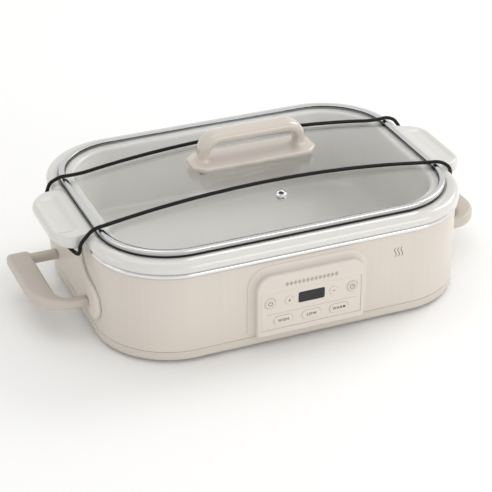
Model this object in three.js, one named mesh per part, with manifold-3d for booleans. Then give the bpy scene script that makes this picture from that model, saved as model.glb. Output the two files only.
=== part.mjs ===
// A rectangular casserole slow cooker: a painted steel housing with an electric heating well, a lift-out
// stoneware crock, a domed glass lid held down by one elastic strap, and a push-button control panel.
//
// Millimetres, +Z up. X runs along the long side and the control panel faces -Y. The origin lies on the
// surface that the feet stand on, at the middle of the object.
import * as THREE from "three";
import { mergeVertices } from "three/addons/utils/BufferGeometryUtils.js";
import Module from "manifold-3d";

const wasm = await Module();
wasm.setup();

// ---------------------------------------------------------------- driving dimensions
const GAP = 0.3; // what two touching pieces keep between them
const CORNER_STEPS = 6; // flats on each 90 degree corner of a rounded rectangle
const ROUND = 12; // flats on a small cylinder

// Each outline is a rounded rectangle: half length, half depth and corner radius.
const WALL = { x: 172.5, y: 128, r: 69.5 };
const SHEET = 1; // thickness of the steel wall

const TRAY_Z = 3; // underside of the base tray
const SEAM_Z = 11.7; // where the tray meets the wall
const WALL_TOP = 84.2;
const TRIM_TOP = 90;

const LEDGE = { x: 166.4, y: 117.6, r: 65.8 }; // outline of the seat for the lid on the crock
const LEDGE_Z = 98.4;
const CROCK_RIM = { x: 175.4, y: 131.1, r: 72.3 };
const LUG = { tip: 201, half: 46, corner: 22, under: 86 };

const LID_Z = 100.3; // underside of the glass edge and of the steel rim
const GLASS = { x: 160.3, y: 111.4, r: 60.2 };
const GLASS_EDGE = 3;
const GLASS_MIDDLE = 4;
const DOME = 16.4; // rise of the glass from its edge to its middle
const GLASS_SIDES = 3; // lengths that each straight side of the glass is cut into

const PLATE = { half: 60.5, depth: 18.3, chamfer: 9, top: 124.8 };
const BOW = { half: 52, top: 151.5, thick: 10, depth: 8.8, radius: 18, leg: 46.8 };
const VENT_Y = -68;

// A side handle: its front corner is broadly round, and its back one is square and stands out of the arm.
const HANDLE = { tip: 223, bar: 10, grip: 22, z: 33, arm: 8.5, thick: 11 };
const FRONT_END = { reach: 51, outer: 36, inner: 12, proud: 0 };
const BACK_END = { reach: 49, outer: 5, inner: 4, proud: 3 };
const PLATE_OUT = 3.6; // how far an end plate stands out of the wall
const SCREWS_Y = [HANDLE.bar / 2 - FRONT_END.reach, BACK_END.reach - HANDLE.bar / 2];

const PANEL = { half: 49.5, flare: 7.5, bottom: 15.5, top: 72.5, face: 136.5 };
const FACE = { half: 47.7, bottom: 20.8, top: 57.2, front: 136.3, back: 134.9 };
const BUTTON_FRONT = 136.9;
const BUTTON_TRAVEL = 0.8;
const STRAP_RADIUS = 1.7;
const STRAP_Y = 50;

const FEET = { x: 128, y: 88, r: 9 };
const BASE_SCREWS = { x: 90, y: 120 };

// ---------------------------------------------------------------- materials
function finish(color, roughness, metalness = 0) {
  return new THREE.MeshStandardMaterial({ color, roughness, metalness });
}
const cream = finish(0xdbd2c7, 0.45);
const creamPaint = finish(0xd8cec3, 0.38);
const chrome = finish(0xd9dadb, 0.12, 1);
const steel = finish(0xc4c6c8, 0.25, 1);
const aluminium = finish(0xb9bcbf, 0.4, 1);
const stoneware = finish(0xe9e7e2, 0.15);
const clearGlass = new THREE.MeshStandardMaterial({
  color: 0xe6eeec,
  roughness: 0.03,
  transparent: true,
  opacity: 0.3,
});
const blackRubber = finish(0x171717, 0.6);
const elastic = finish(0x1d1d1d, 0.75);
const darkPane = finish(0x2f302f, 0.15);
const greenBoard = finish(0x1f5a3a, 0.5);
const blackPlastic = finish(0x222222, 0.5);
const fibre = finish(0xded9cb, 0.95);
const mica = finish(0x9c7f55, 0.7);
const leadRed = finish(0xa8382e, 0.5);

// ---------------------------------------------------------------- solids
const vec = (x, y, z) => new THREE.Vector3(x, y, z);

// A geometry as a manifold-3d solid.
function solid(geometry) {
  const bare = new THREE.BufferGeometry().setAttribute(
    "position",
    (geometry.index ? geometry.toNonIndexed() : geometry).getAttribute("position"),
  );
  const merged = mergeVertices(bare, 1e-4);
  return new wasm.Manifold(
    new wasm.Mesh({
      numProp: 3,
      vertProperties: merged.attributes.position.array,
      triVerts: new Uint32Array(merged.index.array),
    }),
  );
}

// A manifold-3d solid as a geometry.
function surface(made) {
  const mesh = made.getMesh();
  const geometry = new THREE.BufferGeometry();
  geometry.setAttribute("position", new THREE.BufferAttribute(mesh.vertProperties, 3));
  geometry.setIndex(new THREE.BufferAttribute(mesh.triVerts, 1));
  const flat = geometry.toNonIndexed();
  flat.computeVertexNormals();
  return flat;
}

// base joined with each geometry in `plus`, then cut by each in `minus`.
function shaped(base, plus = [], minus = []) {
  let made = solid(base);
  for (const piece of plus) made = made.add(solid(piece));
  for (const piece of minus) made = made.subtract(solid(piece));
  return surface(made);
}

function common(first, ...others) {
  let made = solid(first);
  for (const piece of others) made = made.intersect(solid(piece));
  return surface(made);
}

// One loop of points round a rounded rectangle, anticlockwise from above. Each straight side is cut into
// `sideSteps` lengths.
function ring(x, y, r, z, sideSteps = 1) {
  const points = [];
  for (let corner = 0; corner < 4; corner++) {
    const cx = (corner === 0 || corner === 3 ? 1 : -1) * (x - r);
    const cy = (corner < 2 ? 1 : -1) * (y - r);
    for (let i = 0; i <= CORNER_STEPS; i++) {
      const angle = ((corner + i / CORNER_STEPS) * Math.PI) / 2;
      points.push(vec(cx + r * Math.cos(angle), cy + r * Math.sin(angle), z));
    }
    const start = points.at(-1);
    const end = corner % 2 ? vec(start.x, -cy, z) : vec(-cx, start.y, z);
    for (let i = 1; i < sideSteps; i++) points.push(start.clone().lerp(end, i / sideSteps));
  }
  return points;
}

// The loop of `outline` moved outwards by `out`, at height z.
const around = (outline, out, z, sideSteps = 1) =>
  ring(outline.x + out, outline.y + out, outline.r + out, z, sideSteps);

// A skin through loops of the same number of points. It is closed on itself, or capped at both ends.
function loft(loops, closed = false) {
  const n = loops[0].length;
  const points = loops.flat();
  const triangles = [];
  const last = closed ? loops.length : loops.length - 1;
  for (let i = 0; i < last; i++) {
    const low = i * n;
    const high = ((i + 1) % loops.length) * n;
    for (let j = 0; j < n; j++) {
      const k = (j + 1) % n;
      triangles.push(low + j, low + k, high + k, low + j, high + k, high + j);
    }
  }
  if (!closed) {
    const middle = (loop) =>
      loop.reduce((sum, p) => sum.add(p), vec(0, 0, 0)).divideScalar(loop.length);
    const start = points.push(middle(loops[0])) - 1;
    const end = points.push(middle(loops.at(-1))) - 1;
    const top = (loops.length - 1) * n;
    for (let j = 0; j < n; j++) {
      const k = (j + 1) % n;
      triangles.push(start, k, j, end, top + j, top + k);
    }
  }
  return new THREE.BufferGeometry().setFromPoints(points).setIndex(triangles);
}

const band = (outline, steps) => loft(steps.map(([out, z]) => around(outline, out, z)), true);

function block(x0, x1, y0, y1, z0, z1) {
  const box = new THREE.BoxGeometry(x1 - x0, y1 - y0, z1 - z0);
  return box.translate((x0 + x1) / 2, (y0 + y1) / 2, (z0 + z1) / 2);
}

// A cylinder from point a, `length` along the unit direction `axis`.
function rod(a, axis, length, radius, flats = ROUND) {
  const made = new THREE.CylinderGeometry(radius, radius, length, flats);
  made.translate(0, length / 2, 0);
  made.applyQuaternion(new THREE.Quaternion().setFromUnitVectors(vec(0, 1, 0), axis));
  return made.translate(a.x, a.y, a.z);
}

const UP = vec(0, 0, 1);
const EAST = vec(1, 0, 0);
const NORTH = vec(0, 1, 0);
const post = (x, y, z0, z1, radius) => rod(vec(x, y, z0), UP, z1 - z0, radius);

// Extrusions of a flat shape: upwards, from front to back, and from left to right.
function upwards(shape, z0, z1, options = {}) {
  const made = new THREE.ExtrudeGeometry(shape, {
    depth: z1 - z0,
    bevelEnabled: false,
    curveSegments: 6,
    ...options,
  });
  return made.translate(0, 0, z0);
}
function backwards(shape, y0, y1, options = {}) {
  const made = upwards(shape, 0, y1 - y0, options);
  return made.applyMatrix4(new THREE.Matrix4().makeBasis(EAST, UP, vec(0, -1, 0))).translate(0, y1, 0);
}
function sideways(shape, x0, x1) {
  const made = upwards(shape, x0, x1);
  return made.applyMatrix4(new THREE.Matrix4().makeBasis(NORTH, UP, EAST));
}

// A flat shape with straight sides and round ends, centred on (x, y).
function stadium(x, y, halfLength, radius) {
  const straight = Math.max(halfLength - radius, 0.001);
  const shape = new THREE.Shape();
  shape.absarc(x + straight, y, radius, -Math.PI / 2, Math.PI / 2, false);
  shape.absarc(x - straight, y, radius, Math.PI / 2, (3 * Math.PI) / 2, false);
  return shape;
}

// ---------------------------------------------------------------- the object
const cooker = new THREE.Group();

function add(name, geometry, material, parent = cooker) {
  const mesh = new THREE.Mesh(geometry, material);
  mesh.name = name;
  parent.add(mesh);
  return mesh;
}

// ---------------------------------------------------------------- housing
function outerWall() {
  const shell = band(WALL, [
    [0, SEAM_Z + GAP],
    [0, WALL_TOP],
    [-SHEET, WALL_TOP],
    [-SHEET, SEAM_Z + GAP + SHEET],
    [-14.5, SEAM_Z + GAP + SHEET],
    [-14.5, SEAM_Z + GAP],
  ]);
  const window = block(-45.5, 45.5, -WALL.y - 2, -WALL.y + 3, 20.5, 56.5);
  const holes = [window, rod(vec(GLAND.x, WALL.y - 4, GLAND.z), NORTH, 8, GLAND.neck + GAP)];
  for (const side of [-1, 1])
    for (const y of SCREWS_Y)
      holes.push(rod(vec(side * WALL.x - 4, y, HANDLE.z), EAST, 8, 2.1));
  for (const [x, y] of cornersOf(BASE_SCREWS))
    holes.push(post(x, y, SEAM_Z - 1, SEAM_Z + 3, 2.1));
  return shaped(shell, [], holes);
}

function cornersOf({ x, y }) {
  return [
    [-x, -y],
    [x, -y],
    [x, y],
    [-x, y],
  ];
}

function baseTray() {
  const floor = TRAY_Z + 2.5;
  const pan = loft([
    around(WALL, -3, TRAY_Z),
    around(WALL, -0.7, TRAY_Z + 0.8),
    around(WALL, 0, TRAY_Z + 2.6),
    around(WALL, 0, SEAM_Z),
    around(WALL, -2, SEAM_Z),
    around(WALL, -2, floor),
  ]);
  const bosses = cornersOf(BASE_SCREWS).map(([x, y]) => post(x, y, floor - 0.5, SEAM_Z - 0.1, 5));
  const holes = [];
  for (const [x, y] of cornersOf(BASE_SCREWS)) {
    holes.push(post(x, y, TRAY_Z - 1, TRAY_Z + 2.6, 4.2));
    holes.push(post(x, y, TRAY_Z, SEAM_Z + 1, 2.1));
  }
  for (const [x, y] of cornersOf(FEET)) holes.push(post(x, y, TRAY_Z - 1, floor + 1, 2.7));
  for (let slot = -2; slot <= 2; slot++)
    holes.push(block(slot * 14 - 2, slot * 14 + 2, -95, -65, TRAY_Z - 1, floor + 1));
  return shaped(pan, bosses, holes);
}

function baseScrew(x, y) {
  const head = post(x, y, TRAY_Z + 0.4, TRAY_Z + 2.3, 3.6);
  return shaped(head, [post(x, y, TRAY_Z + 2, SEAM_Z + 5, 1.7)]);
}

function foot(x, y) {
  const disc = new THREE.CylinderGeometry(FEET.r, FEET.r - 1, TRAY_Z - GAP, ROUND);
  disc.rotateX(Math.PI / 2).translate(x, y, (TRAY_Z - GAP) / 2);
  return shaped(disc, [post(x, y, 1, TRAY_Z + 3.4, 2.3)]);
}

function trimRing() {
  return band(WALL, [
    [1, WALL_TOP + GAP],
    [1.8, 86],
    [1.9, 87.6],
    [1.5, 89],
    [0.4, TRIM_TOP],
    [-8, TRIM_TOP],
    [-8, TRIM_TOP - 1.2],
    [-2, TRIM_TOP - 1.2],
    [-2, WALL_TOP + GAP],
  ]);
}

const WELL = { x: 158.5, y: 109.5, r: 50.5 };

function heatingWell() {
  const lip = TRIM_TOP - 1.5;
  const pan = loft([
    around(WELL, -6.5, 17.5),
    around(WELL, -1.5, 20.5),
    around(WELL, 0, 26),
    around(WELL, 2, lip - 1.2),
    ring(169.5, 125, 66.5, lip - 1.2),
    ring(169.5, 125, 66.5, lip),
    around(WELL, 0.8, lip),
    around(WELL, -1.2, 26),
    around(WELL, -2.7, 21.5),
    around(WELL, -7, 18.7),
  ]);
  return shaped(pan, [], [post(0, 0, 16, 20, 8.4)]);
}

function heaterBand() {
  return band(WELL, [
    [4.6, 34],
    [4.6, 68],
    [2.2, 68],
    [2.2, 34],
  ]);
}

function insulationWrap() {
  return band(WELL, [
    [9, 28],
    [9, 80],
    [5, 80],
    [5, 28],
  ]);
}

// A cap that reaches up through the floor of the well to the crock, on a bracket above the power board.
function temperatureSensor() {
  const bracket = block(-14, 14, -6, 6, 15.6, 16.8);
  return shaped(bracket, [post(0, 0, 16, 19.6, 7.8), post(0, 0, 19, 20.6, 6)]);
}

function powerBoard() {
  const board = block(-62, 18, 12, 72, 7.6, 9.2);
  const posts = cornersOf({ x: 36, y: 26 }).map(([x, y]) =>
    post(x - 22, y + 42, TRAY_Z + 2.5 + GAP, 8, 2.6),
  );
  const coil = post(-42, 30, 9, 15, 5);
  return shaped(board, [...posts, coil]);
}

function powerRelay() {
  return block(-18, 2, 22, 38, 9.5, 17);
}

function terminalBlock() {
  const body = block(-58, -30, 54, 68, 9.5, 15);
  const cuts = [-52, -44, -36].map((x) => post(x, 61, 12, 16, 2));
  return shaped(body, [], cuts);
}

// A ceramic-cased fuse held against the outside of the insulation.
function thermalFuse() {
  const y = WELL.y + 9 + GAP;
  const body = rod(vec(-22, y + 2.4, 54), EAST, 24, 2.3, 12);
  return shaped(body, [rod(vec(-30, y + 2.4, 54), EAST, 40, 0.8, 8)]);
}

// An insulated wire along a smooth line through the given points.
function wire(points, radius) {
  const path = new THREE.CatmullRomCurve3(points);
  const section = new THREE.Shape().absarc(0, 0, radius, 0, 2 * Math.PI, false);
  return new THREE.ExtrudeGeometry(section, { extrudePath: path, steps: 12, curveSegments: 3 });
}

function heaterLead(side) {
  const x = side * 10 - 44;
  return wire(
    [
      vec(x, 68.5, 12.2),
      vec(x, 76, 12.4),
      vec(x + side * 6, 96, 14.4),
      vec(x + side * 11, 112, 15.4),
      vec(x + side * 14, 121, 20),
      vec(x + side * 15, 122.6, 30),
      vec(x + side * 15, 122.6, 44),
    ],
    1.2,
  );
}

// A flat cable from the control board, down inside the wall and in under the well.
function ribbonCable() {
  const route = [
    [-126, 30],
    [-125, 30],
    [-125, 16.6],
    [-40, 16.2],
    [14, 12.6],
    [20, 12.6],
    [20, 11.8],
    [13.6, 11.8],
    [-40.4, 15.4],
    [-126, 15.8],
  ];
  const shape = new THREE.Shape(route.map(([y, z]) => new THREE.Vector2(y, z)));
  return sideways(shape, -12, 4);
}

const GLAND = { x: 88, z: 30, neck: 7, radius: 11, bore: 3.6 };

function cordGland() {
  const out = BUTTON_FRONT;
  const neck = rod(vec(GLAND.x, WALL.y - 6, GLAND.z), NORTH, out - WALL.y + 6, GLAND.neck);
  const collar = rod(vec(GLAND.x, WALL.y + GAP, GLAND.z), NORTH, 3, GLAND.radius);
  const nut = rod(vec(GLAND.x, WALL.y - SHEET - GAP - 3, GLAND.z), NORTH, 3, 10, 6);
  const bore = rod(vec(GLAND.x, WALL.y - 8, GLAND.z), NORTH, 20, GLAND.bore);
  return shaped(neck, [collar, nut], [bore]);
}

// ---------------------------------------------------------------- side handles and their end plates
// The bell outline of an end plate: a neck under the crock's lug that flares to a foot.
function endPlate(side) {
  const bell = new THREE.Shape();
  bell.moveTo(-58, 21);
  bell.lineTo(58, 21);
  bell.bezierCurveTo(66, 21, 71.5, 29, 71.5, 36);
  bell.bezierCurveTo(71.5, 48, 64, 54, 52, 55);
  bell.bezierCurveTo(38, 56.5, 28, 62, 26, 82.5);
  bell.lineTo(-26, 82.5);
  bell.bezierCurveTo(-28, 62, -38, 56.5, -52, 55);
  bell.bezierCurveTo(-64, 54, -71.5, 48, -71.5, 36);
  bell.bezierCurveTo(-71.5, 29, -66, 21, -58, 21);
  const reach = side > 0 ? [140, 190] : [-190, -140];
  const shell = loft([
    around(WALL, PLATE_OUT - 1.5, 21),
    around(WALL, PLATE_OUT, 23.5),
    around(WALL, PLATE_OUT, 80),
    around(WALL, PLATE_OUT - 1.5, 82.5),
  ]);
  const inside = loft([around(WALL, GAP, 0), around(WALL, GAP, 100)]);
  const holes = SCREWS_Y.map((y) =>
    rod(vec(side * WALL.x - 8, y, HANDLE.z), EAST, 16, 2.1),
  );
  const made = common(sideways(bell, ...reach), shell);
  return shaped(made, [], [inside, ...holes]);
}

// A flat loop: two arms from the end plate, joined by a broad grip. The left one is made with its front and
// back exchanged, and then turned half round.
function sideHandle(side) {
  const root = WALL.x + PLATE_OUT + GAP;
  const { tip, bar, grip, z, arm, thick } = HANDLE;
  const [low, high] = side > 0 ? [FRONT_END, BACK_END] : [BACK_END, FRONT_END];
  const loop = (lowStart, highStart, lowProud, highProud) => {
    const [bottom, top] = [-low.reach - lowProud, high.reach + highProud];
    const [innerBottom, innerTop] = [bar - low.reach, high.reach - bar];
    const inside = tip - grip;
    const shape = new THREE.Shape();
    shape.moveTo(lowStart, bottom);
    shape.lineTo(tip - low.outer, bottom);
    shape.absarc(tip - low.outer, bottom + low.outer, low.outer, -Math.PI / 2, 0, false);
    shape.absarc(tip - high.outer, top - high.outer, high.outer, 0, Math.PI / 2, false);
    shape.lineTo(highStart, top);
    shape.lineTo(highStart, innerTop);
    shape.lineTo(inside - high.inner, innerTop);
    shape.absarc(inside - high.inner, innerTop - high.inner, high.inner, Math.PI / 2, 0, true);
    shape.absarc(inside - low.inner, innerBottom + low.inner, low.inner, 0, -Math.PI / 2, true);
    shape.lineTo(lowStart, innerBottom);
    return shape;
  };
  const start = (end) => tip - Math.max(grip + end.inner, end.outer) - 1;
  const arms = upwards(loop(root, root, 0, 0), z - arm / 2, z + arm / 2);
  const outline = loop(start(low), start(high), low.proud, high.proud);
  const broad = upwards(outline, z - thick / 2, z + thick / 2);
  const bores = SCREWS_Y.map((y) => rod(vec(root - 1, side * y, z), EAST, 19, 2));
  const made = shaped(arms, [broad], bores);
  if (side < 0) made.rotateZ(Math.PI);
  return made;
}

function handleScrew(side, y) {
  const inner = WALL.x - SHEET - GAP;
  const head = rod(vec(inner - 2.2, side * y, HANDLE.z), EAST, 2.2, 3.6);
  const made = shaped(head, [rod(vec(inner - 1, side * y, HANDLE.z), EAST, 20, 1.7)]);
  if (side < 0) made.rotateZ(Math.PI);
  return made;
}

// ---------------------------------------------------------------- control panel
// One loop round the panel's outline: square at the bottom, round at its two top corners.
function arch(half, bottom, top, r, y) {
  const points = [vec(-half, y, bottom), vec(half, y, bottom)];
  for (let i = 0; i <= CORNER_STEPS; i++) {
    const angle = (i / CORNER_STEPS) * (Math.PI / 2);
    points.push(vec(half - r + r * Math.cos(angle), y, top - r + r * Math.sin(angle)));
  }
  for (let i = 0; i <= CORNER_STEPS; i++) {
    const angle = (1 + i / CORNER_STEPS) * (Math.PI / 2);
    points.push(vec(r - half + r * Math.cos(angle), y, top - r + r * Math.sin(angle)));
  }
  return points;
}

function controlBezel() {
  const { half, flare, bottom, top, face } = PANEL;
  const body = loft([
    arch(half + flare, bottom, top + flare, 21, -WALL.y - GAP),
    arch(half + flare - 1, bottom, top + flare - 1, 20, -WALL.y - 1.8),
    arch(half + 1, bottom, top + 1, 13, -face + 1),
    arch(half, bottom, top, 12, -face),
  ]);
  const seat = block(
    -FACE.half - GAP,
    FACE.half + GAP,
    -face - 1,
    -FACE.back + GAP,
    FACE.bottom - GAP,
    FACE.top + GAP,
  );
  const cavity = block(-46.4, 46.4, -face, -WALL.y + 1, 22.4, 55.6);
  return shaped(body, [], [seat, cavity]);
}

// The buttons: name, place on the panel, half length and radius of the round-ended cap.
const BUTTONS = [
  ["button_power", -39.2, 47.6, 5.3, 5.3],
  ["button_plus", -21.2, 47.4, 4, 4],
  ["button_minus", 21.2, 47.4, 4, 4],
  ["button_timer", 39.2, 47.6, 5.3, 5.3],
  ["button_high", -26.6, 28.9, 9.2, 4.3],
  ["button_low", 0, 28.9, 9.2, 4.3],
  ["button_warm", 26.6, 28.9, 9.2, 4.3],
];
const DISPLAY = { half: 12.7, bottom: 42.2, top: 53 };

function faceplate() {
  const plate = block(-FACE.half, FACE.half, -FACE.front, -FACE.back, FACE.bottom, FACE.top);
  const holes = BUTTONS.map(([, x, z, half, r]) =>
    backwards(stadium(x, z, half + GAP, r + GAP), -FACE.front - 1, -FACE.back + 1),
  );
  const { half, bottom, top } = DISPLAY;
  const pane = block(-half, half, -FACE.front - 1, -FACE.back + 1, bottom, top);
  return shaped(plate, [], [...holes, pane]);
}

// A cap that shows through the faceplate, a flange that keeps it in, and a stem over its switch.
function button(x, z, half, r) {
  const cap = backwards(stadium(x, z, half, r), -BUTTON_FRONT, -134);
  const flange = backwards(stadium(x, z, half + 1, r + 1), -FACE.back + GAP, -133.6);
  return shaped(cap, [flange, rod(vec(x, -134, z), NORTH, 2.4, 1.6, 12)]);
}

function displayWindow() {
  const { half, bottom, top } = DISPLAY;
  return block(-half + GAP, half - GAP, -FACE.front + 0.1, -FACE.back, bottom + GAP, top - GAP);
}

function displayModule() {
  return block(-13.8, 13.8, -FACE.back + GAP, -129.3, 40.4, 54.6);
}

function controlBoard() {
  const board = block(-43.5, 43.5, -129, -127.4, 23.6, 54.4);
  const stop = -131.6 + BUTTON_TRAVEL + GAP;
  const switches = BUTTONS.map(([, x, z]) => block(x - 3, x + 3, stop, -128.8, z - 3, z + 3));
  return shaped(board, switches);
}

// ---------------------------------------------------------------- crock
// The lug in side view, and the tab that it is in plan.
function lug(side) {
  const { tip, half, corner, under } = LUG;
  const profile = [
    [163, 95],
    [170, 98.9],
    [178, 98.6],
    [188, 98],
    [196, 97.2],
    [199.4, 95.6],
    [tip, 93],
    [tip - 0.4, 89.6],
    [tip - 2.4, under + 0.8],
    [tip - 5, under],
    [180, under],
    [178, 87.6],
    [176.2, TRIM_TOP + 0.4],
    [163, TRIM_TOP + 0.4],
  ];
  const sideView = new THREE.Shape(profile.map(([x, z]) => new THREE.Vector2(x, z)));
  const plan = new THREE.Shape();
  plan.moveTo(150, -half);
  plan.lineTo(tip - corner, -half);
  plan.absarc(tip - corner, corner - half, corner, -Math.PI / 2, 0, false);
  plan.absarc(tip - corner, half - corner, corner, 0, Math.PI / 2, false);
  plan.lineTo(150, half);
  const tab = common(backwards(sideView, -60, 60), upwards(plan, 80, 110));
  if (side < 0) tab.rotateZ(Math.PI);
  return tab;
}

// A shallow thumb rest in the top of the lug.
function thumbRest(side) {
  const dish = new THREE.SphereGeometry(1, 14, 8);
  return dish.scale(10.5, 35, 2.8).translate(side * 186.5, 0, 99.2);
}

function crock() {
  const body = loft([
    ring(140, 91, 36, 21),
    ring(149.5, 100.5, 45.5, 23.4),
    ring(153, 104, 49, 30),
    ring(156, 107, 52, 88),
    ring(163, 115.5, 60, TRIM_TOP + 0.4),
    around(CROCK_RIM, -1, TRIM_TOP + 0.4),
    around(CROCK_RIM, 0, 92.2),
    around(CROCK_RIM, -0.2, 95.2),
    around(CROCK_RIM, -1.9, 97.8),
    ring(171.4, 124.4, 68, 99.9),
    around(LEDGE, 0.8, 99.4),
    around(LEDGE, 0, LEDGE_Z + 0.2),
    around(LEDGE, -1, LEDGE_Z),
    around(LEDGE, -13, LEDGE_Z),
    around(LEDGE, -15.4, LEDGE_Z - 2),
    ring(147.6, 98.6, 47, 44),
    ring(145, 96, 45, 35.5),
    ring(138, 89, 39, 29.6),
    ring(126, 77, 30, 28),
  ]);
  return shaped(body, [lug(-1), lug(1)], [thumbRest(-1), thumbRest(1)]);
}

// ---------------------------------------------------------------- lid
// Height of the glass above its edge: it falls away to all four sides and meets the edge at round corners.
function domeRise(x, y, share) {
  const fall = (u, v) => (1 - (u / GLASS.x) ** 2) * (1 - (v / GLASS.y) ** 2);
  return DOME * (fall(x, y) - fall(x / share, y / share) * share ** 4);
}

// The loop of the glass outline shrunk to `share` of its size, on the upper or the lower face.
function glassLoop(share, upper) {
  const loop = ring(GLASS.x * share, GLASS.y * share, GLASS.r * share, 0, GLASS_SIDES);
  const thick = GLASS_EDGE + (GLASS_MIDDLE - GLASS_EDGE) * (1 - share ** 2);
  const base = LID_Z + GLASS_EDGE - (upper ? 0 : thick);
  for (const p of loop) p.z = base + domeRise(p.x, p.y, share);
  return loop;
}

function glassSheet() {
  const shares = [0.16, 0.34, 0.52, 0.7, 0.86, 1];
  return loft([
    ...shares.map((s) => glassLoop(s, false)),
    around(GLASS, 3.1, LID_Z, GLASS_SIDES),
    around(GLASS, 3.1, LID_Z + GLASS_EDGE, GLASS_SIDES),
    ...shares.toReversed().map((s) => glassLoop(s, true)),
  ]);
}

// Direction that the glass faces at the steam vent, and the place of the vent on its upper face.
const ventShare = Math.abs(VENT_Y) / GLASS.y;
const ventZ = LID_Z + GLASS_EDGE + domeRise(0, VENT_Y, ventShare);
const ventTilt = Math.atan((2 * DOME * Math.abs(VENT_Y)) / GLASS.y ** 2);
const ventAxis = vec(0, -Math.sin(ventTilt), Math.cos(ventTilt));
const ventAt = (height) => ventAxis.clone().multiplyScalar(height).add(vec(0, VENT_Y, ventZ));

function lidGlass() {
  const holes = [-1, 1].map((side) => post(side * BOW.leg, 0, 105, 126, 3));
  return shaped(glassSheet(), [], [...holes, rod(ventAt(-8), ventAxis, 16, 3.4)]);
}

function ventGrommet() {
  const profile = [
    [1.6, -5.6],
    [4.4, -5.6],
    [4.6, -4.6],
    [2.8, -4.5],
    [2.8, 0.5],
    [5, 0.5],
    [4.7, 1.3],
    [3.4, 1.9],
    [2, 1.6],
    [1.6, 1.2],
    [1.6, -5.6],
  ].map(([r, h]) => new THREE.Vector2(r, h));
  const made = new THREE.LatheGeometry(profile, ROUND);
  made.applyQuaternion(new THREE.Quaternion().setFromUnitVectors(vec(0, 1, 0), ventAxis));
  return made.translate(0, VENT_Y, ventZ);
}

function lidRim() {
  return band(GLASS, [
    [4.9, LID_Z],
    [5, LID_Z + 3.2],
    [4, LID_Z + 4.2],
    [1, LID_Z + 4.3],
    [-0.2, LID_Z + 3.9],
    [-0.2, LID_Z + 3.4],
    [3.4, LID_Z + 3.3],
    [3.4, LID_Z],
  ]);
}

function lidGasket() {
  return band(GLASS, [
    [5, LEDGE_Z + GAP],
    [5.3, LEDGE_Z + 1],
    [5, LID_Z - GAP],
    [-1.4, LID_Z - GAP],
    [-1.4, LEDGE_Z + GAP],
  ]);
}

function lidHandle() {
  const { half, depth, chamfer, top } = PLATE;
  const plan = new THREE.Shape([
    new THREE.Vector2(-half + chamfer, -depth),
    new THREE.Vector2(half - chamfer, -depth),
    new THREE.Vector2(half, chamfer - depth),
    new THREE.Vector2(half, depth - chamfer),
    new THREE.Vector2(half - chamfer, depth),
    new THREE.Vector2(chamfer - half, depth),
    new THREE.Vector2(-half, depth - chamfer),
    new THREE.Vector2(-half, chamfer - depth),
  ]);
  const base = shaped(upwards(plan, top - 8.6, top), [], [glassSheet().translate(0, 0, GAP)]);

  const inner = BOW.half - BOW.thick;
  const under = BOW.top - BOW.thick;
  const bow = new THREE.Shape();
  bow.moveTo(-BOW.half, top - 1);
  bow.lineTo(-inner, top - 1);
  bow.absarc(8 - inner, under - 8, 8, Math.PI, Math.PI / 2, true);
  bow.absarc(inner - 8, under - 8, 8, Math.PI / 2, 0, true);
  bow.lineTo(inner, top - 1);
  bow.lineTo(BOW.half, top - 1);
  bow.absarc(BOW.half - BOW.radius, BOW.top - BOW.radius, BOW.radius, 0, Math.PI / 2, false);
  bow.absarc(BOW.radius - BOW.half, BOW.top - BOW.radius, BOW.radius, Math.PI / 2, Math.PI, false);
  const bores = [-1, 1].map((side) => post(side * BOW.leg, 0, 112, 135, 2.2));
  return shaped(base, [backwards(bow, -BOW.depth, BOW.depth)], bores);
}

const screwHeadZ = LID_Z + domeRise(BOW.leg, 0, BOW.leg / GLASS.x) - GLASS_MIDDLE + GLASS_EDGE;

function handleWasher(side) {
  const x = side * BOW.leg;
  return shaped(post(x, 0, screwHeadZ - 2.2, screwHeadZ - 1, 6.5), [], [
    post(x, 0, screwHeadZ - 4, screwHeadZ + 1, 2.3),
  ]);
}

function lidHandleScrew(side) {
  const x = side * BOW.leg;
  const head = post(x, 0, screwHeadZ - 4.8, screwHeadZ - 2.5, 4.2);
  return shaped(head, [post(x, 0, screwHeadZ - 3, 132, 1.9)]);
}

// ---------------------------------------------------------------- strap
// One elastic loop: twice over the lid, and under each lug of the crock.
function strapRoute() {
  const glassTop = (x) =>
    LID_Z + GLASS_EDGE + domeRise(x, STRAP_Y, Math.max(x / GLASS.x, STRAP_Y / GLASS.y));
  const overLid = [0, 35, 70, 100, 125, 145].map((x) => [
    x,
    STRAP_Y,
    glassTop(x) + STRAP_RADIUS + 0.8,
  ]);
  const roundLug = [
    [158, 51.4, 107],
    [165, 52.4, 106.6],
    [171, 53, 104.4],
    [176, 54, 100.6],
    [179.5, 52, 95],
    [181, 50.4, 90],
    [181.6, 50.6, 86],
    [183, 48.2, 82.4],
    [186, 38, 82.8],
    [187.2, 20, 83.3],
    [187.2, 0, 83.3],
  ];
  const quarter = [...overLid, ...roundLug];
  const mirrored = (points, sx, sy) => points.map(([x, y, z]) => vec(sx * x, sy * y, z));
  const back = quarter.toReversed();
  return [
    ...mirrored(quarter, 1, -1),
    ...mirrored(back.slice(1), 1, 1),
    ...mirrored(quarter.slice(1), -1, 1),
    ...mirrored(back.slice(1, -1), -1, -1),
  ];
}

function strap() {
  const path = new THREE.CatmullRomCurve3(strapRoute(), true);
  const tube = new THREE.TubeGeometry(path, 88, STRAP_RADIUS, 6, true);
  return surface(solid(tube));
}

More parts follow.
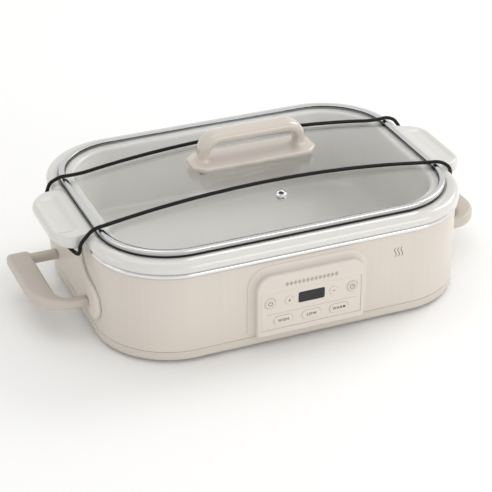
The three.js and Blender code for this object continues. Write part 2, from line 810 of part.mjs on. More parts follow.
// ---------------------------------------------------------------- assembly
add("outer_wall", outerWall(), creamPaint);
add("base_tray", baseTray(), cream);
add("trim_ring", trimRing(), chrome);
add("heating_well", heatingWell(), aluminium);
add("heater_band", heaterBand(), mica);
add("insulation_wrap", insulationWrap(), fibre);
add("temperature_sensor", temperatureSensor(), aluminium);
add("power_board", powerBoard(), greenBoard);
add("power_relay", powerRelay(), blackPlastic);
add("terminal_block", terminalBlock(), cream);
add("thermal_fuse", thermalFuse(), steel);
add("heater_lead_left", heaterLead(-1), leadRed);
add("heater_lead_right", heaterLead(1), leadRed);
add("ribbon_cable", ribbonCable(), blackPlastic);
add("cord_gland", cordGland(), blackPlastic);

for (const [side, word] of [
  [-1, "left"],
  [1, "right"],
]) {
  add(`end_plate_${word}`, endPlate(side), cream);
  add(`side_handle_${word}`, sideHandle(side), cream);
  SCREWS_Y.forEach((y, i) => add(`handle_screw_${word}_${i + 1}`, handleScrew(side, y), steel));
  add(`lid_washer_${word}`, handleWasher(side), blackRubber);
  add(`lid_handle_screw_${word}`, lidHandleScrew(side), steel);
}
cornersOf(FEET).forEach(([x, y], i) => add(`foot_${i + 1}`, foot(x, y), blackRubber));
cornersOf(BASE_SCREWS).forEach(([x, y], i) => add(`base_screw_${i + 1}`, baseScrew(x, y), steel));

add("control_bezel", controlBezel(), cream);
add("control_faceplate", faceplate(), cream);
add("display_window", displayWindow(), darkPane);
add("display_module", displayModule(), blackPlastic);
add("control_board", controlBoard(), greenBoard);
for (const [name, x, z, half, r] of BUTTONS) add(name, button(x, z, half, r), cream);

add("crock", crock(), stoneware);
add("lid_glass", lidGlass(), clearGlass);
add("lid_rim", lidRim(), steel);
add("lid_gasket", lidGasket(), blackRubber);
add("lid_handle", lidHandle(), cream);
add("steam_vent", ventGrommet(), steel);
add("lid_strap", strap(), elastic);

export default cooker;
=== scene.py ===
"""A rectangular casserole slow cooker, dressed for rendering on a plain pale floor.

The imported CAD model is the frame. Each visible CAD node is replaced by a finer mesh of the same size, and the
hidden ones keep their CAD meshes. The helpers take millimetres, and each finished mesh is in metres. X runs
along the long side, the control panel faces -Y, and z = 0 is the floor.
"""

from math import atan2, copysign, cos, hypot, pi, radians, sin, sqrt, tan

import bmesh
import bpy
from mathutils import Matrix, Vector
from mathutils.geometry import interpolate_bezier


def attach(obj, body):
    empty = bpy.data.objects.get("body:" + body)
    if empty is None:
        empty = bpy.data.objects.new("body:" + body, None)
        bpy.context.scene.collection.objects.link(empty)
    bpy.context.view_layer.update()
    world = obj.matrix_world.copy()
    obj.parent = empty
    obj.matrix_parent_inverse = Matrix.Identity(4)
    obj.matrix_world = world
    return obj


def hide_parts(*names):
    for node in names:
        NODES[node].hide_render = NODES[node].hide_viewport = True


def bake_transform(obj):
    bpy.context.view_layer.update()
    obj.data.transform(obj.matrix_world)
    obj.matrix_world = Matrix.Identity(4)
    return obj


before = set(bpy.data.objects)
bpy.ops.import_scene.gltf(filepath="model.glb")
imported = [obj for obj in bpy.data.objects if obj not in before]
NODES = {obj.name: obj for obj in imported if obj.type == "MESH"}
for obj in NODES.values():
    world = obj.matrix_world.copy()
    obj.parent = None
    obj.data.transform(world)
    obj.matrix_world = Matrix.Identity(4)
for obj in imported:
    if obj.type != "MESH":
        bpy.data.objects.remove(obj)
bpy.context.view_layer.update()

# ------------ driving dimensions, in millimetres
MM = 0.001
UP = Vector((0, 0, 1))
GAP = 0.3
ARC = 20  # steps round a quarter circle of the plan outline
POINT = 0.01  # the radius that stands for the axis of a turned piece

# Each outline is a rounded rectangle: half length, half depth and corner radius.
WALL = (172.5, 128.0, 69.5)
CROCK_RIM = (175.4, 131.1, 72.3)
LEDGE = (166.4, 117.6, 65.8)
GLASS = (160.3, 111.4, 60.2)

# Heights, from the floor up.
TRAY_Z, SEAM_Z, WALL_TOP, TRIM_TOP = 3.0, 11.7, 84.2, 90.0
RIM_UNDER, LEDGE_Z, LID_Z = TRIM_TOP + 0.4, 98.4, 100.3

# The lid: thickness of the glass at its edge and middle, rise of its dome, and the bow handle on it.
GLASS_EDGE, GLASS_MIDDLE, DOME = 3.0, 4.0, 16.4
HANDLE_LEG, HANDLE_BASE_Z, HANDLE_TOP = 46.8, 124.8, 151.5
VENT_Y = -68.0

# The crock's lugs, the end plates, the side handles with their screws, and the outlet for the cord.
LUG_TIP, LUG_HALF, LUG_CORNER, LUG_UNDER = 201.0, 46.0, 22.0, 86.0
PLATE_OUT = 3.6
HANDLE_Z, HANDLE_TIP = 33.0, 223.0
SCREWS_Y = (-46.0, 44.0)
ENDS = {"right": 1, "left": -1}  # the sign of x at each end
OUTLET_X, OUTLET_Z = 88, 30

# The control panel: where its faces lie along Y, and the reach of a cutter that goes through the face plate.
BEZEL_FACE, BUTTON_FRONT, FACE_FRONT, FACE_BACK = -136.5, -136.9, -136.3, -134.9
FLANGE_BACK, STEM_BACK = -133.6, -131.6
THROUGH = (-137.5, -134)
PANE_SIZE = (12.4, 47.6, 5.1, 1.5)  # half width, middle height, half height and corner radius

STRAP_RADIUS, STRAP_Y = 1.7, 50.0
FEET = [(-128, -88), (128, -88), (128, 88), (-128, 88)]
BASE_SCREWS = [(-90, -120), (90, -120), (90, 120), (-90, 120)]

# The buttons: place on the panel, then half length and radius of the round-ended cap.
BUTTONS = {
    "power": (-39.2, 47.6, 5.3, 5.3),
    "plus": (-21.2, 47.4, 4.0, 4.0),
    "minus": (21.2, 47.4, 4.0, 4.0),
    "timer": (39.2, 47.6, 5.3, 5.3),
    "high": (-26.6, 28.9, 9.2, 4.3),
    "low": (0.0, 28.9, 9.2, 4.3),
    "warm": (26.6, 28.9, 9.2, 4.3),
}


# ------------ camera, floor and light
def new_object(name, data):
    """An object for that data, linked to the scene."""
    thing = bpy.data.objects.new(name, data)
    bpy.context.scene.collection.objects.link(thing)
    return thing


def point_along(thing, place, direction):
    """Puts a camera or a lamp at a place, looking in a direction."""
    thing.location = place
    thing.rotation_mode = "QUATERNION"
    thing.rotation_quaternion = Vector(direction).to_track_quat("-Z", "Y")


def make_camera():
    data = bpy.data.cameras.new("camera")
    data.sensor_width = 36
    data.lens = 121.5
    data.clip_end = 50
    camera = new_object("camera", data)
    point_along(camera, (-0.5302, -1.2566, 0.7916), (0.33625, 0.80445, -0.48969))
    bpy.context.scene.camera = camera


def make_floor(material):
    mesh = bpy.data.meshes.new("floor")
    half = 12.0
    corners = [(-half, -half, 0), (half, -half, 0), (half, half, 0), (-half, half, 0)]
    mesh.from_pydata(corners, [], [(0, 1, 2, 3)])
    mesh.materials.append(material)
    new_object("floor", mesh)


def softbox(name, place, target, size, power):
    data = bpy.data.lights.new(name, "AREA")
    data.shape = "RECTANGLE"
    data.size, data.size_y = size
    data.energy = power
    point_along(new_object(name, data), place, Vector(target) - Vector(place))


def make_light():
    world = bpy.data.worlds.new("studio")
    world.use_nodes = True
    background = world.node_tree.nodes["Background"]
    background.inputs["Color"].default_value = (1.0, 0.995, 0.985, 1)
    background.inputs["Strength"].default_value = 0.8
    bpy.context.scene.world = world
    bpy.context.scene.view_settings.view_transform = "Standard"
    softbox("key", (1.6, 0.5, 1.3), (0, 0, 0.05), (1.0, 1.0), 13)
    softbox("top", (-0.3, 0.6, 2.2), (0, 0, 0), (1.8, 1.0), 5)
    softbox("front", (1.0, -2.1, 0.55), (0.1, 0, 0.05), (1.8, 0.9), 13)
    softbox("left", (-2.2, 0.2, 0.6), (-0.1, 0, 0.05), (1.0, 0.6), 2.2)


# ------------ materials
class Paint:
    """A node material round one Principled shader."""

    def __init__(self, name, color, roughness, metallic=0.0, **sockets):
        self.material = bpy.data.materials.new(name)
        self.material.use_nodes = True
        self.tree = self.material.node_tree
        self.shader = self.tree.nodes["Principled BSDF"]
        self.set("Base Color", (*color, 1))
        self.set("Roughness", roughness)
        self.set("Metallic", metallic)
        for socket, value in sockets.items():
            self.set(socket.replace("_", " "), value)
        self.relief = None

    def feed(self, socket, value):
        """Links another node's result to the socket, or gives it a number or a colour."""
        if isinstance(value, bpy.types.NodeSocket):
            self.tree.links.new(value, socket)
        else:
            socket.default_value = value

    def set(self, socket, value):
        self.feed(self.shader.inputs[socket], value)

    def node(self, kind, **inputs):
        made = self.tree.nodes.new("ShaderNode" + kind)
        for socket, value in inputs.items():
            self.feed(made.inputs[socket.replace("_", " ")], value)
        return made

    def compute(self, operation, *terms):
        """The result of one Math node, from numbers and sockets."""
        made = self.node("Math")
        made.operation = operation
        for socket, term in zip(made.inputs, terms):
            self.feed(socket, term)
        return made.outputs[0]

    def place(self, stretch=(1, 1, 1), source="Object"):
        """Coordinates on the piece, stretched along each axis."""
        where = self.node("TexCoord").outputs[source]
        return self.node("Mapping", Vector=where, Scale=stretch).outputs["Vector"]

    def cells(self, scale):
        return self.node("TexVoronoi", Vector=self.place(), Scale=scale).outputs["Distance"]

    def noise(self, scale, detail=3.0, stretch=(1, 1, 1)):
        return self.node("TexNoise", Vector=self.place(stretch), Scale=scale, Detail=detail).outputs["Fac"]

    def ramp(self, factor, low, high, out=(0.0, 1.0)):
        """factor from low to high, as a number between the two of `out`."""
        limits = {"From_Min": low, "From_Max": high, "To_Min": out[0], "To_Max": out[1]}
        return self.node("MapRange", Value=factor, **limits).outputs["Result"]

    def tint(self, factor, other, amount=1.0):
        """Varies the base colour towards `other` where factor is high."""
        mix = self.node("Mix")
        mix.data_type = "RGBA"
        share, first, second = (mix.inputs[i] for i in (0, 6, 7))  # the ones that a colour mix uses
        current = self.shader.inputs["Base Color"]
        self.feed(first, current.links[0].from_socket if current.is_linked else current.default_value)
        self.feed(second, (*other, 1))
        self.feed(share, self.ramp(factor, 0, 1, (0, amount)))
        self.set("Base Color", mix.outputs[2])
        return self

    def rough(self, factor, low, high):
        """Roughness between low and high."""
        self.set("Roughness", self.ramp(factor, 0.3, 0.7, (low, high)))
        return self

    def bump(self, height, distance, strength=1.0):
        """Adds relief of that depth in millimetres."""
        made = self.node("Bump", Height=height, Distance=distance * MM, Strength=strength)
        if self.relief:
            self.feed(made.inputs["Normal"], self.relief)
        self.relief = made.outputs["Normal"]
        self.set("Normal", self.relief)
        return self


def scaled(color, share):
    return tuple(c * share for c in color)


def painted_steel():
    color = (0.655, 0.598, 0.535)
    m = Paint("paint_beige", color, 0.34, Coat_Weight=0.25, Coat_Roughness=0.18)
    streaks = m.noise(1.0, 2, (520, 520, 4))
    m.tint(m.ramp(streaks, 0.35, 0.7), scaled(color, 0.96), 0.5)
    m.rough(m.noise(18, 3), 0.3, 0.38)
    m.bump(streaks, 0.01)
    return m.bump(m.noise(900, 2), 0.012).material


def moulded_plastic(name, color, roughness, grain=1100, depth=0.015, **sockets):
    m = Paint(name, color, roughness, **sockets)
    m.tint(m.noise(9, 4), scaled(color, 0.955), 0.8)
    m.rough(m.noise(40, 3), roughness * 0.9, roughness * 1.12)
    m.bump(m.noise(60, 2), 0.03, 0.5)
    return m.bump(m.noise(grain, 3), depth).material


def glazed_stoneware():
    color = (0.69, 0.675, 0.645)
    m = Paint("glaze_white", color, 0.12, Coat_Weight=0.5, Coat_Roughness=0.04)
    m.tint(m.ramp(m.noise(7, 4), 0.4, 0.75), (0.66, 0.64, 0.6), 0.5)
    m.tint(m.ramp(m.cells(420), 0.09, 0.03), (0.55, 0.52, 0.47), 0.25)
    m.rough(m.noise(30, 2), 0.1, 0.15)
    m.bump(m.noise(22, 2), 0.12, 0.6)
    return m.bump(m.noise(160, 2), 0.012).material


def bright_metal(name, color, roughness, lines=(3, 3, 500), depth=0.001):
    m = Paint(name, color, roughness, 1.0)
    drawn = m.noise(1.0, 3, lines)
    m.tint(m.ramp(drawn, 0.35, 0.75), scaled(color, 0.92), 0.5)
    m.rough(m.noise(25, 3), roughness * 0.8, roughness * 1.3)
    return m.bump(drawn, depth).material


def clear_glass():
    m = Paint("clear_glass", (0.99, 0.995, 0.992), 0.02, Transmission_Weight=1.0, IOR=1.45)
    m.rough(m.noise(12, 3), 0.0, 0.012)
    return m.bump(m.noise(6, 2), 0.015, 0.4).material


def rubber(name, color, roughness=0.6):
    m = Paint(name, color, roughness, Specular_IOR_Level=0.25)
    m.tint(m.noise(30, 3), tuple(c + 0.012 for c in color), 0.4)
    m.rough(m.noise(80, 2), roughness * 0.85, roughness * 1.1)
    return m.bump(m.noise(700, 3), 0.03).material


def elastic_braid():
    """Crossing strands round the cord, laid out by its own map: u round it, v along it."""
    m = Paint("elastic_braid", (0.006, 0.006, 0.006), 0.6, Specular_IOR_Level=0.2)
    split = m.node("SeparateXYZ", Vector=m.place((1, 1, 1), "UV")).outputs
    strands = []
    for turn in (1, -1):
        along = m.compute("MULTIPLY_ADD", split["X"], 6.0 * turn, split["Y"])
        strands.append(m.compute("SINE", m.compute("MULTIPLY", along, 2 * pi)))
    weave = m.ramp(m.compute("MAXIMUM", *strands), -1, 1)
    m.tint(weave, (0.012, 0.012, 0.012), 0.8)
    m.rough(m.noise(300, 2), 0.5, 0.65)
    return m.bump(weave, 0.18).material


def dark_window():
    m = Paint("display_pane", (0.016, 0.017, 0.017), 0.12, Specular_IOR_Level=0.4)
    m.tint(m.noise(60, 3), (0.024, 0.025, 0.025), 0.6)
    m.rough(m.noise(90, 3), 0.08, 0.14)
    return m.bump(m.noise(500, 2), 0.002).material


def print_ink(name, color):
    m = Paint(name, color, 0.55)
    m.tint(m.noise(400, 2), scaled(color, 1.25), 0.5)
    return m.bump(m.noise(1500, 2), 0.005).material


def circuit_board():
    m = Paint("circuit_board", (0.02, 0.11, 0.05), 0.35)
    tracks = m.node("TexBrick", Vector=m.place(), Scale=160.0).outputs["Fac"]
    m.tint(tracks, (0.06, 0.22, 0.1), 0.8)
    m.rough(m.noise(60, 2), 0.3, 0.45)
    return m.bump(tracks, 0.04).material


def fibre_felt():
    m = Paint("fibre_felt", (0.72, 0.69, 0.62), 0.95, Sheen_Weight=0.3)
    strands = m.noise(260, 6, (1, 1, 0.4))
    m.tint(strands, (0.55, 0.52, 0.45), 0.7)
    m.rough(strands, 0.9, 1.0)
    return m.bump(strands, 0.5).material


def mica_sheet():
    m = Paint("mica_sheet", (0.3, 0.19, 0.09), 0.5)
    flakes = m.cells(120)
    m.tint(flakes, (0.5, 0.38, 0.2), 0.7)
    m.rough(flakes, 0.3, 0.6)
    return m.bump(flakes, 0.08).material


BEIGE = (0.565, 0.51, 0.45)
CREAM = (0.625, 0.56, 0.495)
PAINT = painted_steel()
TRAY = moulded_plastic("plastic_tray", (0.62, 0.565, 0.505), 0.42)
BEIGE_PLASTIC = moulded_plastic("plastic_beige", BEIGE, 0.45)
END_PLASTIC = moulded_plastic("plastic_end", (0.69, 0.635, 0.57), 0.42)
PANEL_PLASTIC = moulded_plastic("plastic_panel", (0.69, 0.63, 0.57), 0.4)
BUTTON_PLASTIC = moulded_plastic("plastic_button", (0.70, 0.64, 0.58), 0.42)
GLOSS = {"Coat_Weight": 0.8, "Coat_Roughness": 0.06}
HANDLE_PLASTIC = moulded_plastic("plastic_cream", CREAM, 0.16, 900, 0.003, **GLOSS)
BLACK_PLASTIC = moulded_plastic("plastic_black", (0.015, 0.015, 0.015), 0.5)
CHROME = bright_metal("chrome", (0.78, 0.78, 0.785), 0.1)
STEEL = bright_metal("polished_steel", (0.74, 0.745, 0.75), 0.17)
SCREW_STEEL = bright_metal("screw_steel", (0.5, 0.5, 0.51), 0.35, (600, 600, 600), 0.02)
ALUMINIUM = bright_metal("pressed_aluminium", (0.6, 0.61, 0.62), 0.38, (200, 200, 6), 0.02)
GLAZE = glazed_stoneware()
CLEAR = clear_glass()
SEAL = rubber("seal_rubber", (0.008, 0.008, 0.008), 0.4)
FOOT_RUBBER = rubber("foot_rubber", (0.02, 0.02, 0.02))
LEAD = rubber("lead_red", (0.35, 0.03, 0.02), 0.45)
BRAID = elastic_braid()
PANE = dark_window()
INK = print_ink("print_grey", (0.06, 0.05, 0.045))
# warm grey: print on the button rings, and painted shade for the relief of the raised beads on the panel
PRINT_AND_RELIEF_SHADE = print_ink("print_and_shade_beige", (0.4, 0.355, 0.31))
BOARD = circuit_board()
FELT = fibre_felt()
MICA = mica_sheet()


def floor_surface():
    m = Paint("floor_white", (0.95, 0.95, 0.945), 0.55)
    m.tint(m.noise(1.5, 2), (0.93, 0.93, 0.925), 0.5)
    return m.material


# ------------ meshes
def new_mesh(name, verts, faces):
    mesh = bpy.data.meshes.new(name)
    mesh.from_pydata([Vector(v) * MM for v in verts], [], faces)
    return mesh


def make(name, verts, faces, material, body, replaced=None, slot=None, sharp=38, fix=True):
    """A piece from vertices in millimetres. With fix its faces are turned outwards."""
    mesh = new_mesh(name, verts, faces)
    if fix:
        turn_outwards(mesh, merge=True)
    return finish_piece(new_object(name, mesh), material, body, replaced, sharp)


def turn_outwards(mesh, merge):
    """Turns the faces outwards, after merging the vertices that meet if asked to."""
    bm = bmesh.new()
    bm.from_mesh(mesh)
    if merge:
        bmesh.ops.remove_doubles(bm, verts=bm.verts, dist=1e-7)
    bmesh.ops.recalc_face_normals(bm, faces=bm.faces)
    bm.to_mesh(mesh)
    bm.free()


def finish_piece(piece, material, body, replaced=None, sharp=38):
    mesh = piece.data
    mesh.materials.clear()
    mesh.materials.append(material)
    shade(mesh, sharp)
    if body:
        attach(piece, body)
    if replaced:
        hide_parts(replaced)
    return piece


def shade(mesh, sharp):
    """Smooth shading, but for edges sharper than that many degrees."""
    mesh.shade_smooth()
    mesh.set_sharp_from_angle(angle=radians(sharp))


def plain(verts, faces):
    """A mesh object that is only used to cut a piece, or is joined to one."""
    mesh = new_mesh("cutter", verts, faces)
    turn_outwards(mesh, merge=False)
    return new_object("cutter", mesh)


def boolean(piece, others, operation="DIFFERENCE", sharp=38):
    """Cuts the piece by the others, or joins them to it, and removes them."""
    for other in others:
        modifier = piece.modifiers.new("boolean", "BOOLEAN")
        modifier.solver = "EXACT"
        modifier.operation = operation
        modifier.object = other
    bpy.context.view_layer.update()
    evaluated = piece.evaluated_get(bpy.context.evaluated_depsgraph_get())
    mesh = bpy.data.meshes.new_from_object(evaluated)
    piece.modifiers.clear()
    piece.data = mesh
    for other in others:
        bpy.data.objects.remove(other)
    shade(mesh, sharp)
    return piece


def angles(count, start=0.0):
    """Angles that go once round a circle in even steps."""
    return [2 * pi * i / count + start for i in range(count)]


def joined(parts):
    """One (verts, faces) pair from several."""
    verts, faces = [], []
    for more_verts, more_faces in parts:
        faces += [tuple(i + len(verts) for i in face) for face in more_faces]
        verts += more_verts
    return verts, faces


def box_cutter(x0, x1, y0, y1, z0, z1):
    loops = [[(x0, y0, z), (x1, y0, z), (x1, y1, z), (x0, y1, z)] for z in (z0, z1)]
    return plain(*loft(loops))


def rod_cutter(start, axis, length, radius, flats=32):
    axis = Vector(axis).normalized()
    side = axis.orthogonal().normalized()
    other = axis.cross(side)
    loops = []
    for along in (0, length):
        centre = Vector(start) + axis * along
        loops.append([centre + (side * cos(a) + other * sin(a)) * radius for a in angles(flats)])
    return plain(*loft(loops))


def loft(loops, closed=False):
    """Faces between loops of the same number of points, closed on themselves or capped at the two ends."""
    n = len(loops[0])
    verts = [Vector(p) for loop in loops for p in loop]
    faces = []
    for i in range(len(loops) if closed else len(loops) - 1):
        low, high = i * n, ((i + 1) % len(loops)) * n
        faces += [(low + j, low + (j + 1) % n, high + (j + 1) % n, high + j) for j in range(n)]
    if not closed:
        faces.append(tuple(reversed(range(n))))
        faces.append(tuple(range((len(loops) - 1) * n, len(loops) * n)))
    return verts, faces


def ring(x, y, r, z, sides=(1, 1), spread=None):
    """One loop round a rounded rectangle, anticlockwise from above. `sides` is how many lengths the long
    and the short straight sides are cut into, and `spread` gives the places of the cuts on the short ones."""
    points = []
    for corner in range(4):
        cx = (x - r) * (1 if corner in (0, 3) else -1)
        cy = (y - r) * (1 if corner < 2 else -1)
        for i in range(ARC + 1):
            angle = (corner + i / ARC) * pi / 2
            points.append(Vector((cx + r * cos(angle), cy + r * sin(angle), z)))
        start = points[-1]
        short = corner % 2 == 1
        end = Vector((start.x, -cy, z)) if short else Vector((-cx, start.y, z))
        if short and spread:
            cuts = spread
        else:
            count = sides[1] if short else sides[0]
            cuts = [i / count for i in range(1, count)]
        points += [start.lerp(end, cut) for cut in cuts]
    return points


def around(outline, out, z, sides=(1, 1)):
    x, y, r = outline
    return ring(x + out, y + out, r + out, z, sides)


def rounded(corners, steps=6):
    """A polygon's points with its corners rounded. Each corner is (a, b, radius)."""
    points = []
    for i, (a, b, radius) in enumerate(corners):
        here = Vector((a, b))
        if not radius:
            points.append(here)
            continue
        back = (Vector(corners[i - 1][:2]) - here).normalized()
        ahead = (Vector(corners[(i + 1) % len(corners)][:2]) - here).normalized()
        half = back.angle(ahead) / 2
        centre = here + (back + ahead).normalized() * radius / sin(half)
        start = here + back * radius / tan(half) - centre
        end = here + ahead * radius / tan(half) - centre
        turn = start.angle_signed(end)
        for k in range(steps + 1):
            points.append(centre + Matrix.Rotation(-turn * k / steps, 2) @ start)
    return points


def inset(corners, d):
    """The polygon's corners moved in by d. The round corners keep their centres."""
    n = len(corners)
    moved = []
    for i, (a, b, radius) in enumerate(corners):
        here = Vector((a, b))
        into = (here - Vector(corners[i - 1][:2])).normalized()
        out = (Vector(corners[(i + 1) % n][:2]) - here).normalized()
        normal = (Vector((-into.y, into.x)) + Vector((-out.y, out.x))).normalized()
        reach = d / normal.dot(Vector((-into.y, into.x)))
        convex = into.x * out.y - into.y * out.x > 0
        point = here + normal * reach
        moved.append((point.x, point.y, max(radius - d if convex else radius + d, 0.02)))
    return moved


def pillow(corners, z0, z1, edge):
    """A flat body with an anticlockwise outline and round upper and lower edges."""
    steps, rows = 10, 6
    loops = []
    for side, z in ((1, z0), (-1, z1)):
        order = range(rows + 1) if side > 0 else range(rows, -1, -1)
        for k in order:
            angle = k / rows * pi / 2
            d = edge * (1 - sin(angle))
            height = z + side * edge * (1 - cos(angle))
            loops.append([Vector((p.x, p.y, height)) for p in rounded(inset(corners, d), steps)])
    return loft(loops)


def band(outline, profile):
    """A closed band round an outline, from a profile of (out, z) points."""
    return loft([around(outline, out, z) for out, z in profile], closed=True)


def lathe(profile, flats, centre, axis=UP, closed=False):
    """A profile of (radius, height) points turned round the axis, with caps or as a closed ring."""
    turn = UP.rotation_difference(Vector(axis)).to_matrix()
    loops = []
    for r, h in profile:
        circle = [Vector((r * cos(a), r * sin(a), h)) for a in angles(flats)]
        loops.append([turn @ point + Vector(centre) for point in circle])
    return loft(loops, closed)


def sweep(path, binormal, section, closed=False):
    """A section carried along a flat path. section(i) gives (across, along the binormal) points."""
    binormal = Vector(binormal)
    loops = []
    for i, point in enumerate(path):
        before = path[i - 1] if i or closed else path[0]
        after = path[(i + 1) % len(path)] if closed or i < len(path) - 1 else path[-1]
        side = (Vector(after) - Vector(before)).normalized().cross(binormal)
        loops.append([Vector(point) + side * a + binormal * b for a, b in section(i)])
    return loft(loops, closed=closed)


def smooth_step(t):
    t = min(max(t, 0.0), 1.0)
    return t * t * (3 - 2 * t)


def at_end(verts, side):
    """Points made for the right end, mirrored when they are for the left one."""
    return verts if side > 0 else [Vector((-v.x, v.y, v.z)) for v in verts]


# ------------ housing
def make_wall():
    low = SEAM_Z + GAP
    profile = rounded([
        (0, low, 0.4), (0, WALL_TOP, 0.4), (-1, WALL_TOP, 0.3), (-1, low + 1, 0.3),
        (-14.5, low + 1, 0.3), (-14.5, low, 0.3),
    ], 3)
    wall = make("wall_painted", *band(WALL, profile), PAINT, "housing", "outer_wall", "paint")
    cutters = [box_cutter(-45.5, 45.5, -130, -125, 20.5, 56.5)]
    cutters.append(rod_cutter((OUTLET_X, 124, OUTLET_Z), (0, 1, 0), 8, 7.3))
    for side in (-1, 1):
        cutters += [rod_cutter((side * WALL[0] - 4, y, HANDLE_Z), (1, 0, 0), 8, 2.1) for y in SCREWS_Y]
    cutters += [rod_cutter((x, y, 10), UP, 5, 2.1) for x, y in BASE_SCREWS]
    boolean(wall, cutters)


def make_tray():
    profile = rounded([
        (-5, TRAY_Z, 0), (0, TRAY_Z, 2.6), (0, SEAM_Z, 0.4), (-2, SEAM_Z, 0.3),
        (-2, TRAY_Z + 2.5, 0),
    ], 5)
    loops = [around(WALL, out, z) for out, z in profile]
    tray = make("tray_moulded", *loft(loops), TRAY, "housing", "base_tray", "beige_plastic")
    bosses = [rod_cutter((x, y, 5), UP, SEAM_Z - 5.1, 5) for x, y in BASE_SCREWS]
    boolean(tray, bosses, "UNION")
    cutters = []
    for x, y in BASE_SCREWS:
        cutters.append(rod_cutter((x, y, 2), UP, 3.6, 4.2))
        cutters.append(rod_cutter((x, y, 3), UP, 10, 2.1))
    cutters += [rod_cutter((x, y, 2), UP, 5, 2.7) for x, y in FEET]
    cutters += [box_cutter(x - 2, x + 2, -95, -65, 2, 7) for x in range(-28, 29, 14)]  # air slots
    boolean(tray, cutters)


def make_trim():
    profile = rounded([
        (0.8, WALL_TOP + GAP, 0.5), (2.1, 86.4, 1.4), (1.9, 88.6, 1.2), (0.3, TRIM_TOP, 0.9),
        (-8, TRIM_TOP, 0.3), (-8, TRIM_TOP - 1.2, 0.3), (-2, TRIM_TOP - 1.2, 0.3),
        (-2, WALL_TOP + GAP, 0.3),
    ])
    make("trim_band", *band(WALL, profile), CHROME, "housing", "trim_ring", "chrome")


def make_feet():
    pad = [(POINT, 0), (7.2, 0), (7.9, 0.25), (8.6, 1.2), (9, 2.3), (8.9, 2.7)]
    plug = [(2.3, 2.7), (2.3, 6.4), (POINT, 6.4)]
    for i, (x, y) in enumerate(FEET, 1):
        verts, faces = lathe(pad + plug, 36, (x, y, 0))
        make(f"foot_pad_{i}", verts, faces, FOOT_RUBBER, "housing", f"foot_{i}", "foot_rubber")


def make_base_screws():
    head = [(POINT, 3.4), (2.2, 3.4), (3.2, 3.7), (3.6, 4.3), (3.6, 5.2)]
    shank = [(1.7, 5.3), (1.7, 16.7), (POINT, 16.7)]
    for i, (x, y) in enumerate(BASE_SCREWS, 1):
        verts, faces = lathe(head + shank, 28, (x, y, 0))
        screw = make(f"tray_screw_{i}", verts, faces, SCREW_STEEL, "housing", f"base_screw_{i}",
                     "screw_steel")
        cross = [(2.2, 0.45), (0.45, 2.2)]
        boolean(screw, [box_cutter(x - a, x + a, y - b, y + b, 3, 4.5) for a, b in cross])


def make_gland():
    profile = rounded([
        (3.6, -6, 0), (10, -6, 0.5), (10, -3.2, 0.5), (7, -3.2, 0), (7, 0.3, 0), (11, 0.3, 0.4),
        (11, 3.3, 1.2), (7, 3.3, 0.8), (6.6, 8.9, 1.0), (3.6, 8.9, 0.5),
    ], 4)
    loops = []
    for r, h in profile:
        loops.append([
            Vector((OUTLET_X + r * cos(a), WALL[1] + h, OUTLET_Z + r * sin(a))) for a in angles(48)
        ])
    verts, faces = loft(loops, closed=True)
    make("cord_outlet", verts, faces, BLACK_PLASTIC, "housing", "cord_gland", "black_plastic")


# ------------ end plates and side handles
def wall_point(s, z, out):
    """The point at arc length s from the middle of the right end of the wall."""
    x, y, r = WALL
    straight = y - r
    if abs(s) <= straight:
        return Vector((x + out, s, z))
    angle = (abs(s) - straight) / r
    across = straight + (r + out) * sin(angle)
    return Vector((x - r + (r + out) * cos(angle), copysign(across, s), z))


# One side of the edge of an end plate: three curves through (half width, height), from the bottom up.
BELL = [
    ((58, 21), (66, 21), (71.5, 29), (71.5, 36)),
    ((71.5, 36), (71.5, 48), (64, 54), (52, 55)),
    ((52, 55), (38, 56.5), (28, 62), (26, 82.5)),
]


def bell_edge():
    """Points along one side of the edge, as (half width, height)."""
    steps = 30
    points = []
    for curve in BELL:
        knots = [Vector((y, z, 0)) for y, z in curve]
        points += [p.to_2d() for p in interpolate_bezier(*knots, steps)]
    return points


def sheet_faces(rows, columns):
    """Faces of a closed sheet. Its front points come row by row, and then as many back points."""
    n = columns + 1
    size = n * (rows + 1)
    faces = []
    for i in range(rows):
        for j in range(columns):
            a = i * n + j
            faces.append((a, a + 1, a + n + 1, a + n))
            faces.append((size + a, size + a + n, size + a + n + 1, size + a + 1))
    rim = list(range(n)) + [i * n + columns for i in range(1, rows + 1)]
    rim += [rows * n + j for j in range(columns - 1, -1, -1)] + [i * n for i in range(rows - 1, 0, -1)]
    for a, b in zip(rim, rim[1:] + rim[:1]):
        faces.append((a, size + a, size + b, b))
    return faces


